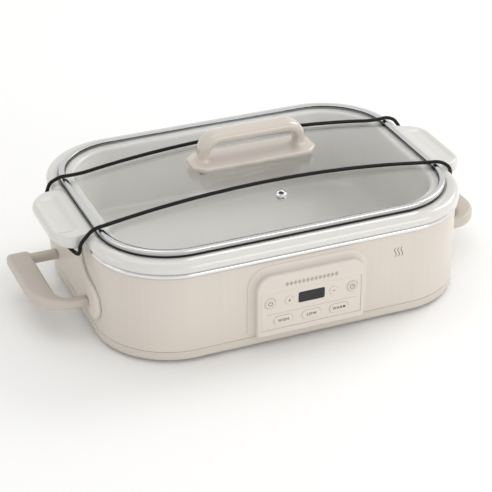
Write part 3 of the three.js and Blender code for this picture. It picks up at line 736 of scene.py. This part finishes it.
def make_end_plates():
    edge = bell_edge()
    low, high, rows, columns = edge[0].y, edge[-1].y, 80, 60
    thin = GAP + 0.1

    def half_width(z):
        i = next(i for i in range(1, len(edge)) if z <= edge[i].y + 1e-6)
        before, after = edge[i - 1], edge[i]
        share = (z - before.y) / max(after.y - before.y, 1e-6)
        return before.x + (after.x - before.x) * min(share, 1)

    outline = [Vector((side * p.x, p.y)) for side in (-1, 1) for p in edge]
    outline += [Vector((y, z)) for half, z in ((58, low), (26, high)) for y in range(-half, half + 1, 2)]
    front, back = [], []
    for i in range(rows + 1):
        z = low + (high - low) * (0.5 - 0.5 * cos(pi * i / rows))
        half = half_width(z)
        for j in range(columns + 1):
            u = sin((j / columns - 0.5) * pi)
            here = Vector((u * half, z))
            inside = min((here - point).length for point in outline)
            rise = sqrt(1 - (1 - min(inside / 3.2, 1)) ** 2)
            front.append(wall_point(u * half, z, thin + (PLATE_OUT - thin) * rise))
            back.append(wall_point(u * half, z, GAP))
    faces = sheet_faces(rows, columns)
    verts = front + back
    for end, side in ENDS.items():
        points = at_end(verts, side)
        plate = make(f"end_escutcheon_{end}", points, faces, END_PLASTIC, "housing", f"end_plate_{end}",
                     "beige_plastic", 60)
        holes = [rod_cutter((side * WALL[0] - 8, y, HANDLE_Z), (1, 0, 0), 16, 2.1) for y in SCREWS_Y]
        boolean(plate, holes, sharp=60)


def make_side_handles():
    """Two arms and a broad grip. The front corner is broadly round, and the back one is square."""
    root, tip, z = WALL[0] + PLATE_OUT + 0.05, HANDLE_TIP, HANDLE_Z
    grip = [(root, -51, 0.3), (tip, -51, 36), (tip, 52, 5), (201, 52, 4), (201, -41, 12), (root, -41, 0.3)]
    arm = [(root, 39, 0.3), (212, 39, 0.3), (212, 49, 0.3), (root, 49, 0.3)]
    for end, side in ENDS.items():
        verts, faces = pillow(grip, z - 5.5, z + 5.5, 3.4)
        for v in verts:  # the grip thins into the front arm
            slim = smooth_step((206 - v.x) / 16) * smooth_step((-20 - v.y) / 14)
            v.z = z + (v.z - z) * (1 - 0.228 * slim)
        handle = make(f"grip_{end}", at_end(verts, side), faces, BEIGE_PLASTIC, "housing",
                      f"side_handle_{end}", "beige_plastic", 50)
        verts, faces = pillow(arm, z - 4.25, z + 4.25, 3.2)
        boolean(handle, [plain(at_end(verts, side), faces)], "UNION", 50)
        bores = [rod_cutter((side * 175.5, y, z), (side, 0, 0), 19, 2) for y in SCREWS_Y]
        boolean(handle, bores, sharp=50)


# ------------ control panel
def arch(half, low, high, corner, y, low_corner=0.6, steps=14):
    """One loop on the panel about x = 0. Its lower corners have a radius of their own."""
    corners = [(-half, low, low_corner), (half, low, low_corner), (half, high, corner), (-half, high, corner)]
    return [Vector((x, y, z)) for x, z in rounded(corners, steps)]


def make_bezel():
    half, bottom, top, steps = 49.5, 15.5, 72.5, 8
    back, shoulder = -WALL[1] - GAP, -133.5
    loops = [arch(57.2, bottom, 80.2, 20, back)]
    for k in range(1, steps + 1):  # the hollow foot of the flank
        t = k / steps
        flare = 7.5 * (1 - sin(t * pi / 2) * 0.72)
        y = back + (shoulder - back) * t ** 1.4
        loops.append(arch(half + flare, bottom, top + flare, 12.5 + flare, y))
    for k in range(1, steps + 1):  # the round shoulder up to the face
        angle = k / steps * pi / 2
        flare = 2.1 * cos(angle)
        y = shoulder + (BEZEL_FACE - shoulder) * sin(angle)
        loops.append(arch(half + flare, bottom, top + flare, 12.2 + flare, y))
    bezel = make("panel_bezel", *loft(loops), PANEL_PLASTIC, "housing", "control_bezel",
                 "panel_plastic", 50)
    seat = box_cutter(-48, 48, -138, -134.6, 20.5, 57.5)
    opening = box_cutter(-46.4, 46.4, -137, -127, 22.4, 55.6)
    boolean(bezel, [seat, opening], sharp=50)


def panel_loop(half, middle, half_height, corner, y, steps=6):
    """One loop on the panel: a rounded rectangle about x = 0 and z = middle."""
    return arch(half, middle - half_height, middle + half_height, corner, y, corner, steps)


def stadium(x, z, half, r, y):
    """One round-ended loop on the panel."""
    straight, steps = half - r, 12
    points = []
    for end in (1, -1):
        for k in range(steps + 1):
            angle = (k / steps - 0.5) * pi + (0 if end > 0 else pi)
            points.append(Vector((x + end * straight + r * cos(angle), y, z + r * sin(angle))))
    return points


def make_faceplate():
    half, middle, half_height = 47.85, 39, 18.35
    back = [(-0.3, FACE_BACK), (0, FACE_BACK - 0.3)]
    front = [(0, FACE_FRONT + 0.25), (-0.08, FACE_FRONT + 0.08), (-0.25, FACE_FRONT)]
    loops = [panel_loop(half + out, middle, half_height + out, 0.8, y, 5) for out, y in back + front]
    plate = make("panel_plate", *loft(loops), PANEL_PLASTIC, "housing", "control_faceplate",
                 "panel_plastic")
    cutters = []
    for x, z, half, r in BUTTONS.values():
        loops = [stadium(x, z, half + 0.2, r + 0.2, y) for y in THROUGH]
        cutters.append(plain(*loft(loops)))
    half, middle, half_height, corner = PANE_SIZE
    window = [panel_loop(half + 0.2, middle, half_height + 0.2, corner + 0.2, y) for y in THROUGH]
    cutters.append(plain(*loft(window)))
    cutters.append(box_cutter(-42, 43, THROUGH[0], FACE_FRONT + 0.35, 36.0, 36.5))
    boolean(plate, cutters)


def make_display():
    half, middle, half_height, corner = PANE_SIZE
    profile = [(0, FACE_BACK), (0, FACE_FRONT + 0.3), (-0.1, FACE_FRONT + 0.12), (-0.3, FACE_FRONT + 0.1)]
    loops = [panel_loop(half + out, middle, half_height + out, corner, y) for out, y in profile]
    make("display_pane", *loft(loops), PANE, "housing", "display_window", "display")


def make_buttons():
    for name, (x, z, half, r) in BUTTONS.items():
        cap = [(-1, 0), (-0.5, 0.05), (-0.15, 0.18), (0, 0.5), (0, FACE_BACK + GAP - BUTTON_FRONT)]
        flange = (FACE_BACK + GAP, FLANGE_BACK)
        grow = 0.1 if name in ("plus", "minus") else 0.0
        loops = [stadium(x, z, half + out + grow, r + out + grow, BUTTON_FRONT + depth)
                 for out, depth in cap]
        loops += [stadium(x, z, half + 1, r + 1, y) for y in flange]
        for y in (FLANGE_BACK, STEM_BACK):
            loops.append([Vector((x + 1.6 * cos(a), y, z + 1.6 * sin(a)))
                          for a in angles(len(loops[0]), -pi / 2)])
        body = f"button_{name}"
        make(f"keycap_{name}", *loft(loops), BUTTON_PLASTIC, body, body, "button_plastic")


def stroke(points, width, y, closed=False):
    """A raised printed line on the panel through (x, z) points."""
    path = [Vector((x, y, z)) for x, z in points]
    section = [(-width / 2, 0.08), (width / 2, 0.08), (width / 2, -0.1), (-width / 2, -0.1)]
    return sweep(path, (0, -1, 0), lambda i: section, closed)


def arc_points(x, z, r, start, end, steps=30):
    return [(x + r * cos(radians(a)), z + r * sin(radians(a)))
            for a in (start + (end - start) * i / steps for i in range(steps + 1))]


def printed(name, strokes, body, y, width=0.45, ink=INK, slot="button_plastic"):
    """One piece from several strokes. Each stroke is (points, closed)."""
    lines = [stroke(points[:-1] if closed else points, width, y, closed) for points, closed in strokes]
    make(name, *joined(lines), ink, body, slot=slot)


def make_marks():
    x, z = BUTTONS["power"][:2]
    bar = [(x, z + 0.3), (x, z + 2.5)]
    sign = [(arc_points(x, z, 1.9, 125, 415), False), (bar, False)]
    printed("mark_power", sign, "button_power", BUTTON_FRONT, 0.5)
    x, z = BUTTONS["timer"][:2]
    hands = [(x, z + 1.4), (x, z), (x + 1.0, z)]
    sign = [(arc_points(x, z, 2.2, 0, 360), True), (hands, False)]
    printed("mark_timer", sign, "button_timer", BUTTON_FRONT, 0.5)
    for name in ("power", "timer"):
        x, z = BUTTONS[name][:2]
        ring_line = (arc_points(x, z, 4.2, 0, 360, 48), True)
        printed(f"mark_ring_{name}", [ring_line], f"button_{name}", BUTTON_FRONT, 0.3, PRINT_AND_RELIEF_SHADE)
    for name in ("plus", "minus"):
        x, z = BUTTONS[name][:2]
        strokes = [([(x - 1.6, z), (x + 1.6, z)], False)]
        if name == "plus":
            strokes.append(([(x, z - 1.6), (x, z + 1.6)], False))
        printed(f"mark_{name}", strokes, f"button_{name}", BUTTON_FRONT)
    for name in ("high", "low", "warm"):
        word_on_button(name)
    steam = []
    for middle in (84.8, 88, 91.2):
        shares = [i / 20 for i in range(21)]
        wave = [(middle + 0.9 * sin(2 * pi * t), 62.5 + 9 * t) for t in shares]
        steam.append((wave, False))
    printed("mark_steam", steam, "housing", -WALL[1], 0.55, slot="paint")


def word_on_button(name):
    data = bpy.data.curves.new("word_" + name, "FONT")
    data.body = name.upper()
    data.size = 3.6 * MM
    data.offset = 0.09 * MM
    data.space_character = 1.25
    data.align_x, data.align_y = "CENTER", "CENTER"
    data.extrude = 0.08 * MM
    word = new_object("word_" + name, data)
    x, z = BUTTONS[name][:2]
    word.location = (x * MM, BUTTON_FRONT * MM, z * MM)
    word.rotation_euler = (pi / 2, 0, 0)
    bpy.context.view_layer.update()
    mesh = bpy.data.meshes.new_from_object(word.evaluated_get(bpy.context.evaluated_depsgraph_get()))
    mesh.transform(word.matrix_world)
    bpy.data.objects.remove(word)
    finish_piece(new_object("mark_" + name, mesh), INK, "button_" + name)


def make_ornament():
    """A row of raised beads and small diamonds above the plate, coloured darker than the panel as painted shade
    for their relief.
    """
    beads = []
    count, half_row, row_z, taller = 13, 23.5, 63.8, 1.3
    for k in range(count):
        u = k / (count - 1) * 2 - 1
        r, flats = (1.85, 4) if k % 2 else (1.5, 24)
        profile = [(POINT, 0.38), (r * 0.6, 0.36), (r * 0.85, 0.26), (r, 0.05), (r, -0.2), (POINT, -0.2)]
        verts, faces = lathe(profile, flats, (u * half_row, BEZEL_FACE, 0), (0, -1, 0))
        for p in verts:
            p.z = row_z + p.z * taller
        beads.append((verts, faces))
    # the beads' darker grey is painted shade that stands in for their relief
    make("panel_beads", *joined(beads), PRINT_AND_RELIEF_SHADE, "housing", slot="panel_plastic")


# ------------ crock
# Where the short sides are cut, as distances from their middle: close together at the sides of the lugs.
CUTS = [5, 10, 15, 20, 24, 27, 30, 33, 35.5, 38, 40, 42, 43.5, 44.5, 45.3, 45.8, 45.98, 46.5, 48, 51, 55]
HALF_SIDE = CROCK_RIM[1] - CROCK_RIM[2]
SPREAD = [0.5 + y / (2 * HALF_SIDE) for y in [-c for c in reversed(CUTS)] + [0] + CUTS]


def lug_reach(y, base, lug_x, corner):
    """How far the lug reaches out at y, from a side at `base` to a tip at `lug_x`."""
    half = LUG_HALF
    if abs(y) >= half:
        return base
    if lug_x <= base:
        return lug_x
    radius = min(corner, lug_x - base)
    past = abs(y) - (half - radius)
    if past <= 0:
        return lug_x
    return lug_x - radius + sqrt(radius ** 2 - past ** 2)


def thumb_rest(x, y):
    """Depth of the dish in the top of the lug."""
    across = max(abs(abs(x) - 186.5) - 4.5, 0) / 6.0
    along = max(abs(y) - 28, 0) / 8.0
    return 2.2 * smooth_step(1.15 - hypot(across, along))


def rim_loop(out, z, lug_x, lug_z, corner, dish):
    """A loop round the rim at (out, z), drawn out to (lug_x, lug_z) at the lugs."""
    x, y, r = CROCK_RIM
    points = ring(x + out, y + out, r + out, z, (6, 1), SPREAD)
    base = x + out
    for p in points:
        if abs(p.x) > base - 0.01 and abs(p.y) < LUG_HALF:
            reached = lug_reach(p.y, base, lug_x, corner)
            share = (reached - base) / (lug_x - base)
            p.x = copysign(reached, p.x)
            p.z = z + (lug_z - z) * smooth_step(share * 2.2)
            if dish:
                p.z -= thumb_rest(p.x, p.y)
    return points


def lug_top(x):
    return 98.7 - 0.05 * (x - 178) if x < 195 else 97.85 - 0.05 * (x - 195)


def plain_loop(x, y, r, z):
    """A loop of half length, half depth, corner radius and height, with as many points as rim_loop's."""
    return ring(x, y, r, z, (6, 1), SPREAD)


def crock_outside():
    """The loops from the middle of the base up to the underside of the rim."""
    return [plain_loop(*loop) for loop in (
        (120, 71, 16, 21), (140, 91, 36, 21), (145.5, 96.5, 41.5, 21.5), (149.3, 100.3, 45.3, 23.4),
        (151.6, 102.6, 47.6, 26.6), (152.9, 103.9, 48.9, 31), (154.2, 105.2, 50, 50), (156, 107, 52, 84),
        (156.6, 107.8, 53, 87.5), (158.5, 110, 55, 89.8), (163, 115.5, 60, RIM_UNDER),
    )]


def crock_rim():
    """The loops round the rim and the lugs. Each row is how far the loop is out from the rim's outline and up
    from its underside, then the lug's reach, height and corner radius."""
    full, under = LUG_CORNER, LUG_UNDER
    outer = [
        (-2.2, 0, 174.6, RIM_UNDER, full),
        (-1.4, 0, 176.4, 89.9, full),
        (-1.1, 0.1, 177.4, 88.4, full),
        (-0.9, 0.15, 178.6, 87.0, full),
        (-0.7, 0.2, 180.6, under + 0.15, 8),
        (-0.6, 0.3, 184.0, under, 12),
        (-0.5, 0.4, 190.0, under, 16),
        (-0.4, 0.5, 195.5, under, 19),
        (-0.3, 0.7, 197.6, under + 0.3, 20),
        (-0.2, 1.0, 199.2, under + 1.2, 21),
        (-0.1, 1.5, 200.3, under + 2.6, full),
        (0, 2.2, 200.9, under + 4.4, full),
        (0, 3.0, LUG_TIP, 92.0, full),
        (0, 3.9, 200.8, 93.6, full),
        (-0.1, 4.8, 200.2, 95.0, 21.5),
        (-0.4, 5.7, 199.1, 96.3, 21),
    ]
    dished = [(-0.9, 6.7, 197.6, 97.2, 20)]
    flat_top = [
        (-1.2, 7.2, 195.8, 19), (-1.5, 7.6, 194.0, 18), (-1.8, 7.9, 192.2, 17), (-2.1, 8.2, 190.4, 16),
        (-2.4, 8.45, 188.6, 14), (-2.7, 8.65, 186.8, 13), (-3.0, 8.85, 184.8, 11), (-3.3, 9.05, 182.6, 9),
        (-3.6, 9.2, 180.6, 8), (-4.0, 9.3, 178.6, 6),
    ]
    dished += [(out, up, x, lug_top(x), corner) for out, up, x, corner in flat_top]
    dished += [(-4.4, 9.4, 176.4, 98.9, 5), (-5.0, 9.5, 174.0, 99.2, 3)]
    inner = [(-5.6, 9.55, 171.8, 99.5, 3), (-6.6, 9.4, 169.4, 99.75, 3)]
    loops = []
    for rows, dish in ((outer, False), (dished, True), (inner, False)):
        loops += [rim_loop(out, RIM_UNDER + up, x, z, corner, dish) for out, up, x, z, corner in rows]
    return loops


def crock_inside():
    """The loops over the ledge that the lid sits on, and down to the middle of the cooking floor."""
    ledge = [(1.2, 99.5), (0.5, 99.2), (0.05, 98.8), (-0.3, 98.5), (-0.8, LEDGE_Z), (-6, LEDGE_Z),
             (-12.4, LEDGE_Z), (-13.6, 98.2), (-14.6, 97.6), (-15.3, 96.7), (-15.7, 95.4)]
    x, y, r = LEDGE
    loops = [plain_loop(x + out, y + out, r + out, z) for out, z in ledge]
    return loops + [plain_loop(*loop) for loop in (
        (150.2, 101.4, 49.7, 90), (148.9, 100, 48.4, 70), (147.6, 98.6, 47, 46), (147, 98, 46.4, 42),
        (145.6, 96.6, 45.2, 37.6), (143, 94, 43, 33.6), (139.2, 90.2, 40, 30.6), (134.4, 85.4, 36, 28.8),
        (127, 78, 30, 28.05), (118, 69, 22, 28),
    )]


def make_crock():
    loops = crock_outside() + crock_rim() + crock_inside()
    make("crock_glazed", *loft(loops), GLAZE, "crock", "crock", "stoneware", 60)


# ------------ lid
def fall(x, y):
    """From 1 at the middle of the glass to 0 at its sides."""
    return (1 - (x / GLASS[0]) ** 2) * (1 - (y / GLASS[1]) ** 2)


def dome_rise(x, y, share):
    """Height of the glass above its edge. It meets the edge all the way round, corners included."""
    return DOME * (fall(x, y) - fall(x / share, y / share) * share ** 4)


def glass_loop(share, upper):
    x, y, r = (value * share for value in GLASS)
    thick = GLASS_EDGE + (GLASS_MIDDLE - GLASS_EDGE) * (1 - share ** 2)
    base = LID_Z + GLASS_EDGE - (0 if upper else thick)
    loop = ring(x, y, r, 0, (12, 8))
    for p in loop:
        p.z = base + dome_rise(p.x, p.y, share)
    return loop


VENT_SLOPE = 2 * DOME * VENT_Y / GLASS[1] ** 2
VENT_AXIS = Vector((0, VENT_SLOPE, 1)).normalized()


def vent_point(height):
    """A point on the vent's axis, at that height over the glass."""
    z = LID_Z + GLASS_EDGE + dome_rise(0, VENT_Y, abs(VENT_Y) / GLASS[1])
    return Vector((0, VENT_Y, z)) + VENT_AXIS * height


def make_glass():
    shares = [0.02, 0.06, 0.12, 0.18, 0.26, 0.34, 0.42, 0.5, 0.58, 0.66, 0.74, 0.81, 0.87, 0.92, 0.96, 1]
    loops = [glass_loop(s, False) for s in shares]
    top = LID_Z + GLASS_EDGE
    edge = rounded([(3.1, LID_Z, 0.8), (3.1, top, 0.8), (0, top, 0), (0, LID_Z, 0)], 4)
    loops += [around(GLASS, out, z, (12, 8)) for out, z in edge[:10]]
    loops += [glass_loop(s, True) for s in reversed(shares)]
    lid = make("lid_dome", *loft(loops), CLEAR, "lid", "lid_glass", "clear_glass", 45)
    cutters = [rod_cutter((side * HANDLE_LEG, 0, 105), UP, 21, 3) for side in (-1, 1)]
    cutters.append(rod_cutter(vent_point(-8), VENT_AXIS, 16, 3.4))
    boolean(lid, cutters, sharp=45)
    lid.visible_shadow = False  # the lamps reach the crock through it


def make_vent():
    profile = rounded([
        (1.6, -5.6, 0.2), (4.4, -5.6, 0.3), (4.6, -4.5, 0.3), (2.8, -4.4, 0), (2.8, 0.5, 0),
        (5, 0.45, 0.25), (4.8, 1.2, 0.5), (3.6, 1.8, 0.7), (2.2, 1.5, 0.4),
    ], 6)
    verts, faces = lathe(profile, 40, vent_point(0), VENT_AXIS, closed=True)
    make("vent_eyelet", verts, faces, STEEL, "lid", "steam_vent", "polished_steel")


def make_lid_rim():
    profile = rounded([
        (4.9, LID_Z, 0.3), (5.0, LID_Z + 4.2, 1.4), (2.6, LID_Z + 4.5, 1.0),
        (-0.2, LID_Z + 3.9, 0.3), (-0.2, LID_Z + 3.35, 0.1), (3.4, LID_Z + 3.3, 0.1),
        (3.4, LID_Z, 0.1),
    ], 5)
    make("lid_band", *band(GLASS, profile), STEEL, "lid", "lid_rim", "polished_steel")


def make_gasket():
    profile = rounded([
        (5.0, LEDGE_Z + GAP, 0.3), (5.4, LEDGE_Z + 1, 0.3), (5.0, LID_Z - GAP, 0.2),
        (-1.4, LID_Z - GAP, 0.2), (-1.4, LEDGE_Z + GAP, 0.2),
    ], 3)
    make("lid_seal", *band(GLASS, profile), SEAL, "lid", "lid_gasket", "seal")


def plate_loop(out, z=None, share=1.0):
    """A loop of the eight-sided base plate. Without a z it lies just above the glass."""
    half, depth, chamfer = 60.5 + out, 18.3 + out, 9 + out * 0.5
    corners = []
    for sx, sy, first in ((1, -1, True), (1, 1, False), (-1, 1, True), (-1, -1, False)):
        a = (sx * (half - chamfer), sy * depth, 7)
        b = (sx * half, sy * (depth - chamfer), 5)
        corners += [a, b] if first else [b, a]
    points = [Vector((x * share, y * share, 0)) for x, y in rounded(corners, 4)]
    for p in points:
        p.z = z if z is not None else dome_top(p.x, p.y) + GAP
    return points


def dome_top(x, y):
    share = max(abs(x) / GLASS[0], abs(y) / GLASS[1], 0.02)
    return LID_Z + GLASS_EDGE + dome_rise(x, y, share)


def base_plate():
    """The plate, down to a core that follows the glass under its overhanging rim."""
    edge = 1.6
    under = HANDLE_BASE_Z - 3.6
    loops = [plate_loop(-3.4, None, s) for s in (0.04, 0.3, 0.6, 0.85, 1)]
    loops += [plate_loop(-3.2, under), plate_loop(-0.6, under), plate_loop(-0.15, under + 0.2)]
    for k in range(7):
        angle = k / 6 * pi / 2
        loops.append(plate_loop(-edge * (1 - cos(angle)), HANDLE_BASE_Z - edge * (1 - sin(angle))))
    loops += [plate_loop(-edge, HANDLE_BASE_Z, s) for s in (0.95, 0.8, 0.5, 0.1)]
    return loft(loops)


def bow():
    """The bow: a round-cornered bar that widens towards its feet and its top."""
    leg, thick, bend = HANDLE_LEG, 5.2, 14.0
    top = HANDLE_TOP - thick
    centre = [(-leg, HANDLE_BASE_Z + rise) for rise in (-2.3, -1, 0.1, 1.2, 2.6, 5.2)]
    centre += [(-leg + bend - bend * cos(a), top - bend + bend * sin(a)) for a in
               (pi / 2 * k / 18 for k in range(19))]
    centre += [(x, top) for x in (-24, -12, 0, 12, 24)]
    centre += [(-x, z) for x, z in reversed(centre[:25])]
    path = [Vector((x, 0, z)) for x, z in centre]

    def section(i):
        z = path[i].z
        rise = smooth_step((z - 128) / 15)
        root = max(0.0, 1 - max(z - HANDLE_BASE_Z, 0) / 3.6) ** 2 * 1.8
        wide = 7.0 + 2.4 * rise + root
        return [((thick + root) * squared(cos(a)), wide * squared(sin(a))) for a in angles(32)]

    return sweep(path, (0, 1, 0), section)


def squared(value):
    """A cosine or sine drawn towards 1, which makes a circle squarer."""
    return copysign(abs(value) ** 0.74, value)


def make_lid_handle():
    verts, faces = base_plate()
    handle = make("lid_handle_bow", verts, faces, HANDLE_PLASTIC, "lid", "lid_handle", "handle_plastic", 55)
    boolean(handle, [plain(*bow())], "UNION", 50)
    bores = [rod_cutter((side * HANDLE_LEG, 0, 112), UP, 23, 2.2) for side in (-1, 1)]
    boolean(handle, bores, sharp=50)


# ------------ strap
def strap_route():
    """The closed line of the strap: over the lid twice, and under both lugs."""
    over = [(x, STRAP_Y, dome_top(x, STRAP_Y) + STRAP_RADIUS + 0.6) for x in (0, 35, 70, 100, 125, 145)]
    lug = [(158, 51.4, 106.9), (165, 52.4, 106.5), (171, 53, 104.4), (176, 54, 100.6), (179.5, 52, 95),
           (181, 50.4, 90), (181.6, 50.6, 86), (183, 48.2, 82.4), (186, 38, 82.8), (187.2, 20, 83.3),
           (187.2, 0, 83.3)]
    quarter = over + lug
    turned = list(reversed(quarter))
    route = []
    quarters = [(quarter, 1, -1), (turned[1:], 1, 1), (quarter[1:], -1, 1), (turned[1:-1], -1, -1)]
    for points, sx, sy in quarters:
        route += [Vector((sx * x, sy * y, z)) for x, y, z in points]
    return route


def spline(points):
    """A smooth closed line through the points."""
    n, steps = len(points), 7
    out = []
    for i in range(n):
        p0, p1, p2, p3 = (points[(i + k - 1) % n] for k in range(4))
        for k in range(steps):
            t = k / steps
            out.append(0.5 * ((2 * p1) + (p2 - p0) * t + (2 * p0 - 5 * p1 + 4 * p2 - p3) * t * t
                              + (3 * p1 - p0 - 3 * p2 + p3) * t ** 3))
    return out


def make_strap():
    path = spline(strap_route())
    n, flats = len(path), 16
    verts, faces, lengths = [], [], [0.0]
    side = Vector((0, -1, 0))
    for i, point in enumerate(path):
        along = (path[(i + 1) % n] - path[i - 1]).normalized()
        side = (side - along * side.dot(along)).normalized()
        up = along.cross(side)
        verts += [point + (side * cos(a) + up * sin(a)) * STRAP_RADIUS for a in angles(flats)]
        lengths.append(lengths[-1] + (path[(i + 1) % n] - point).length)
    first = (verts[0] - path[0]).normalized()
    along = (path[0] - path[-1]).normalized()
    last = (side - along * side.dot(along)).normalized()
    shift = round(atan2(first.cross(last).dot(along), first.dot(last)) / (2 * pi) * flats)
    for i in range(n):
        low, high = i * flats, ((i + 1) % n) * flats
        turn = shift if i == n - 1 else 0
        for j in range(flats):
            k = j + 1
            faces.append((low + j, low + k % flats, high + (k + turn) % flats, high + (j + turn) % flats))
    strap = make("strap_elastic", verts, faces, BRAID, None, "lid_strap", "elastic", fix=False)
    uv = strap.data.uv_layers.new(name="cord")
    for k in range(len(faces)):
        i, j = divmod(k, flats)
        for corner, (di, dj) in enumerate(((0, 0), (0, 1), (1, 1), (1, 0))):
            uv.data[k * 4 + corner].uv = ((j + dj) / flats, lengths[i + di] / (2 * STRAP_RADIUS))
    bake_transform(strap)


# ------------ pieces that keep their CAD mesh
KEPT = [
    (ALUMINIUM, ["heating_well", "temperature_sensor", "thermal_fuse"]),
    (MICA, ["heater_band"]),
    (FELT, ["insulation_wrap"]),
    (BOARD, ["power_board", "control_board"]),
    (BEIGE_PLASTIC, ["terminal_block"]),
    (BLACK_PLASTIC, ["power_relay", "ribbon_cable", "display_module"]),
    (LEAD, [f"heater_lead_{end}" for end in ENDS]),
    (SCREW_STEEL, [f"handle_screw_{end}_{i}" for end in ENDS for i in (1, 2)]),
    (SCREW_STEEL, [f"lid_handle_screw_{end}" for end in ENDS]),
    (SEAL, [f"lid_washer_{end}" for end in ENDS]),
]


def dress_cad_nodes():
    for material, names in KEPT:
        for name in names:
            NODES[name].material_slots[0].material = material


# ------------ scene
make_camera()
make_floor(floor_surface())
make_light()
make_wall()
make_tray()
make_trim()
make_feet()
make_base_screws()
make_gland()
make_end_plates()
make_side_handles()
make_bezel()
make_faceplate()
make_display()
make_buttons()
make_marks()
make_ornament()
make_crock()
make_glass()
make_vent()
make_lid_rim()
make_gasket()
make_lid_handle()
make_strap()
dress_cad_nodes()
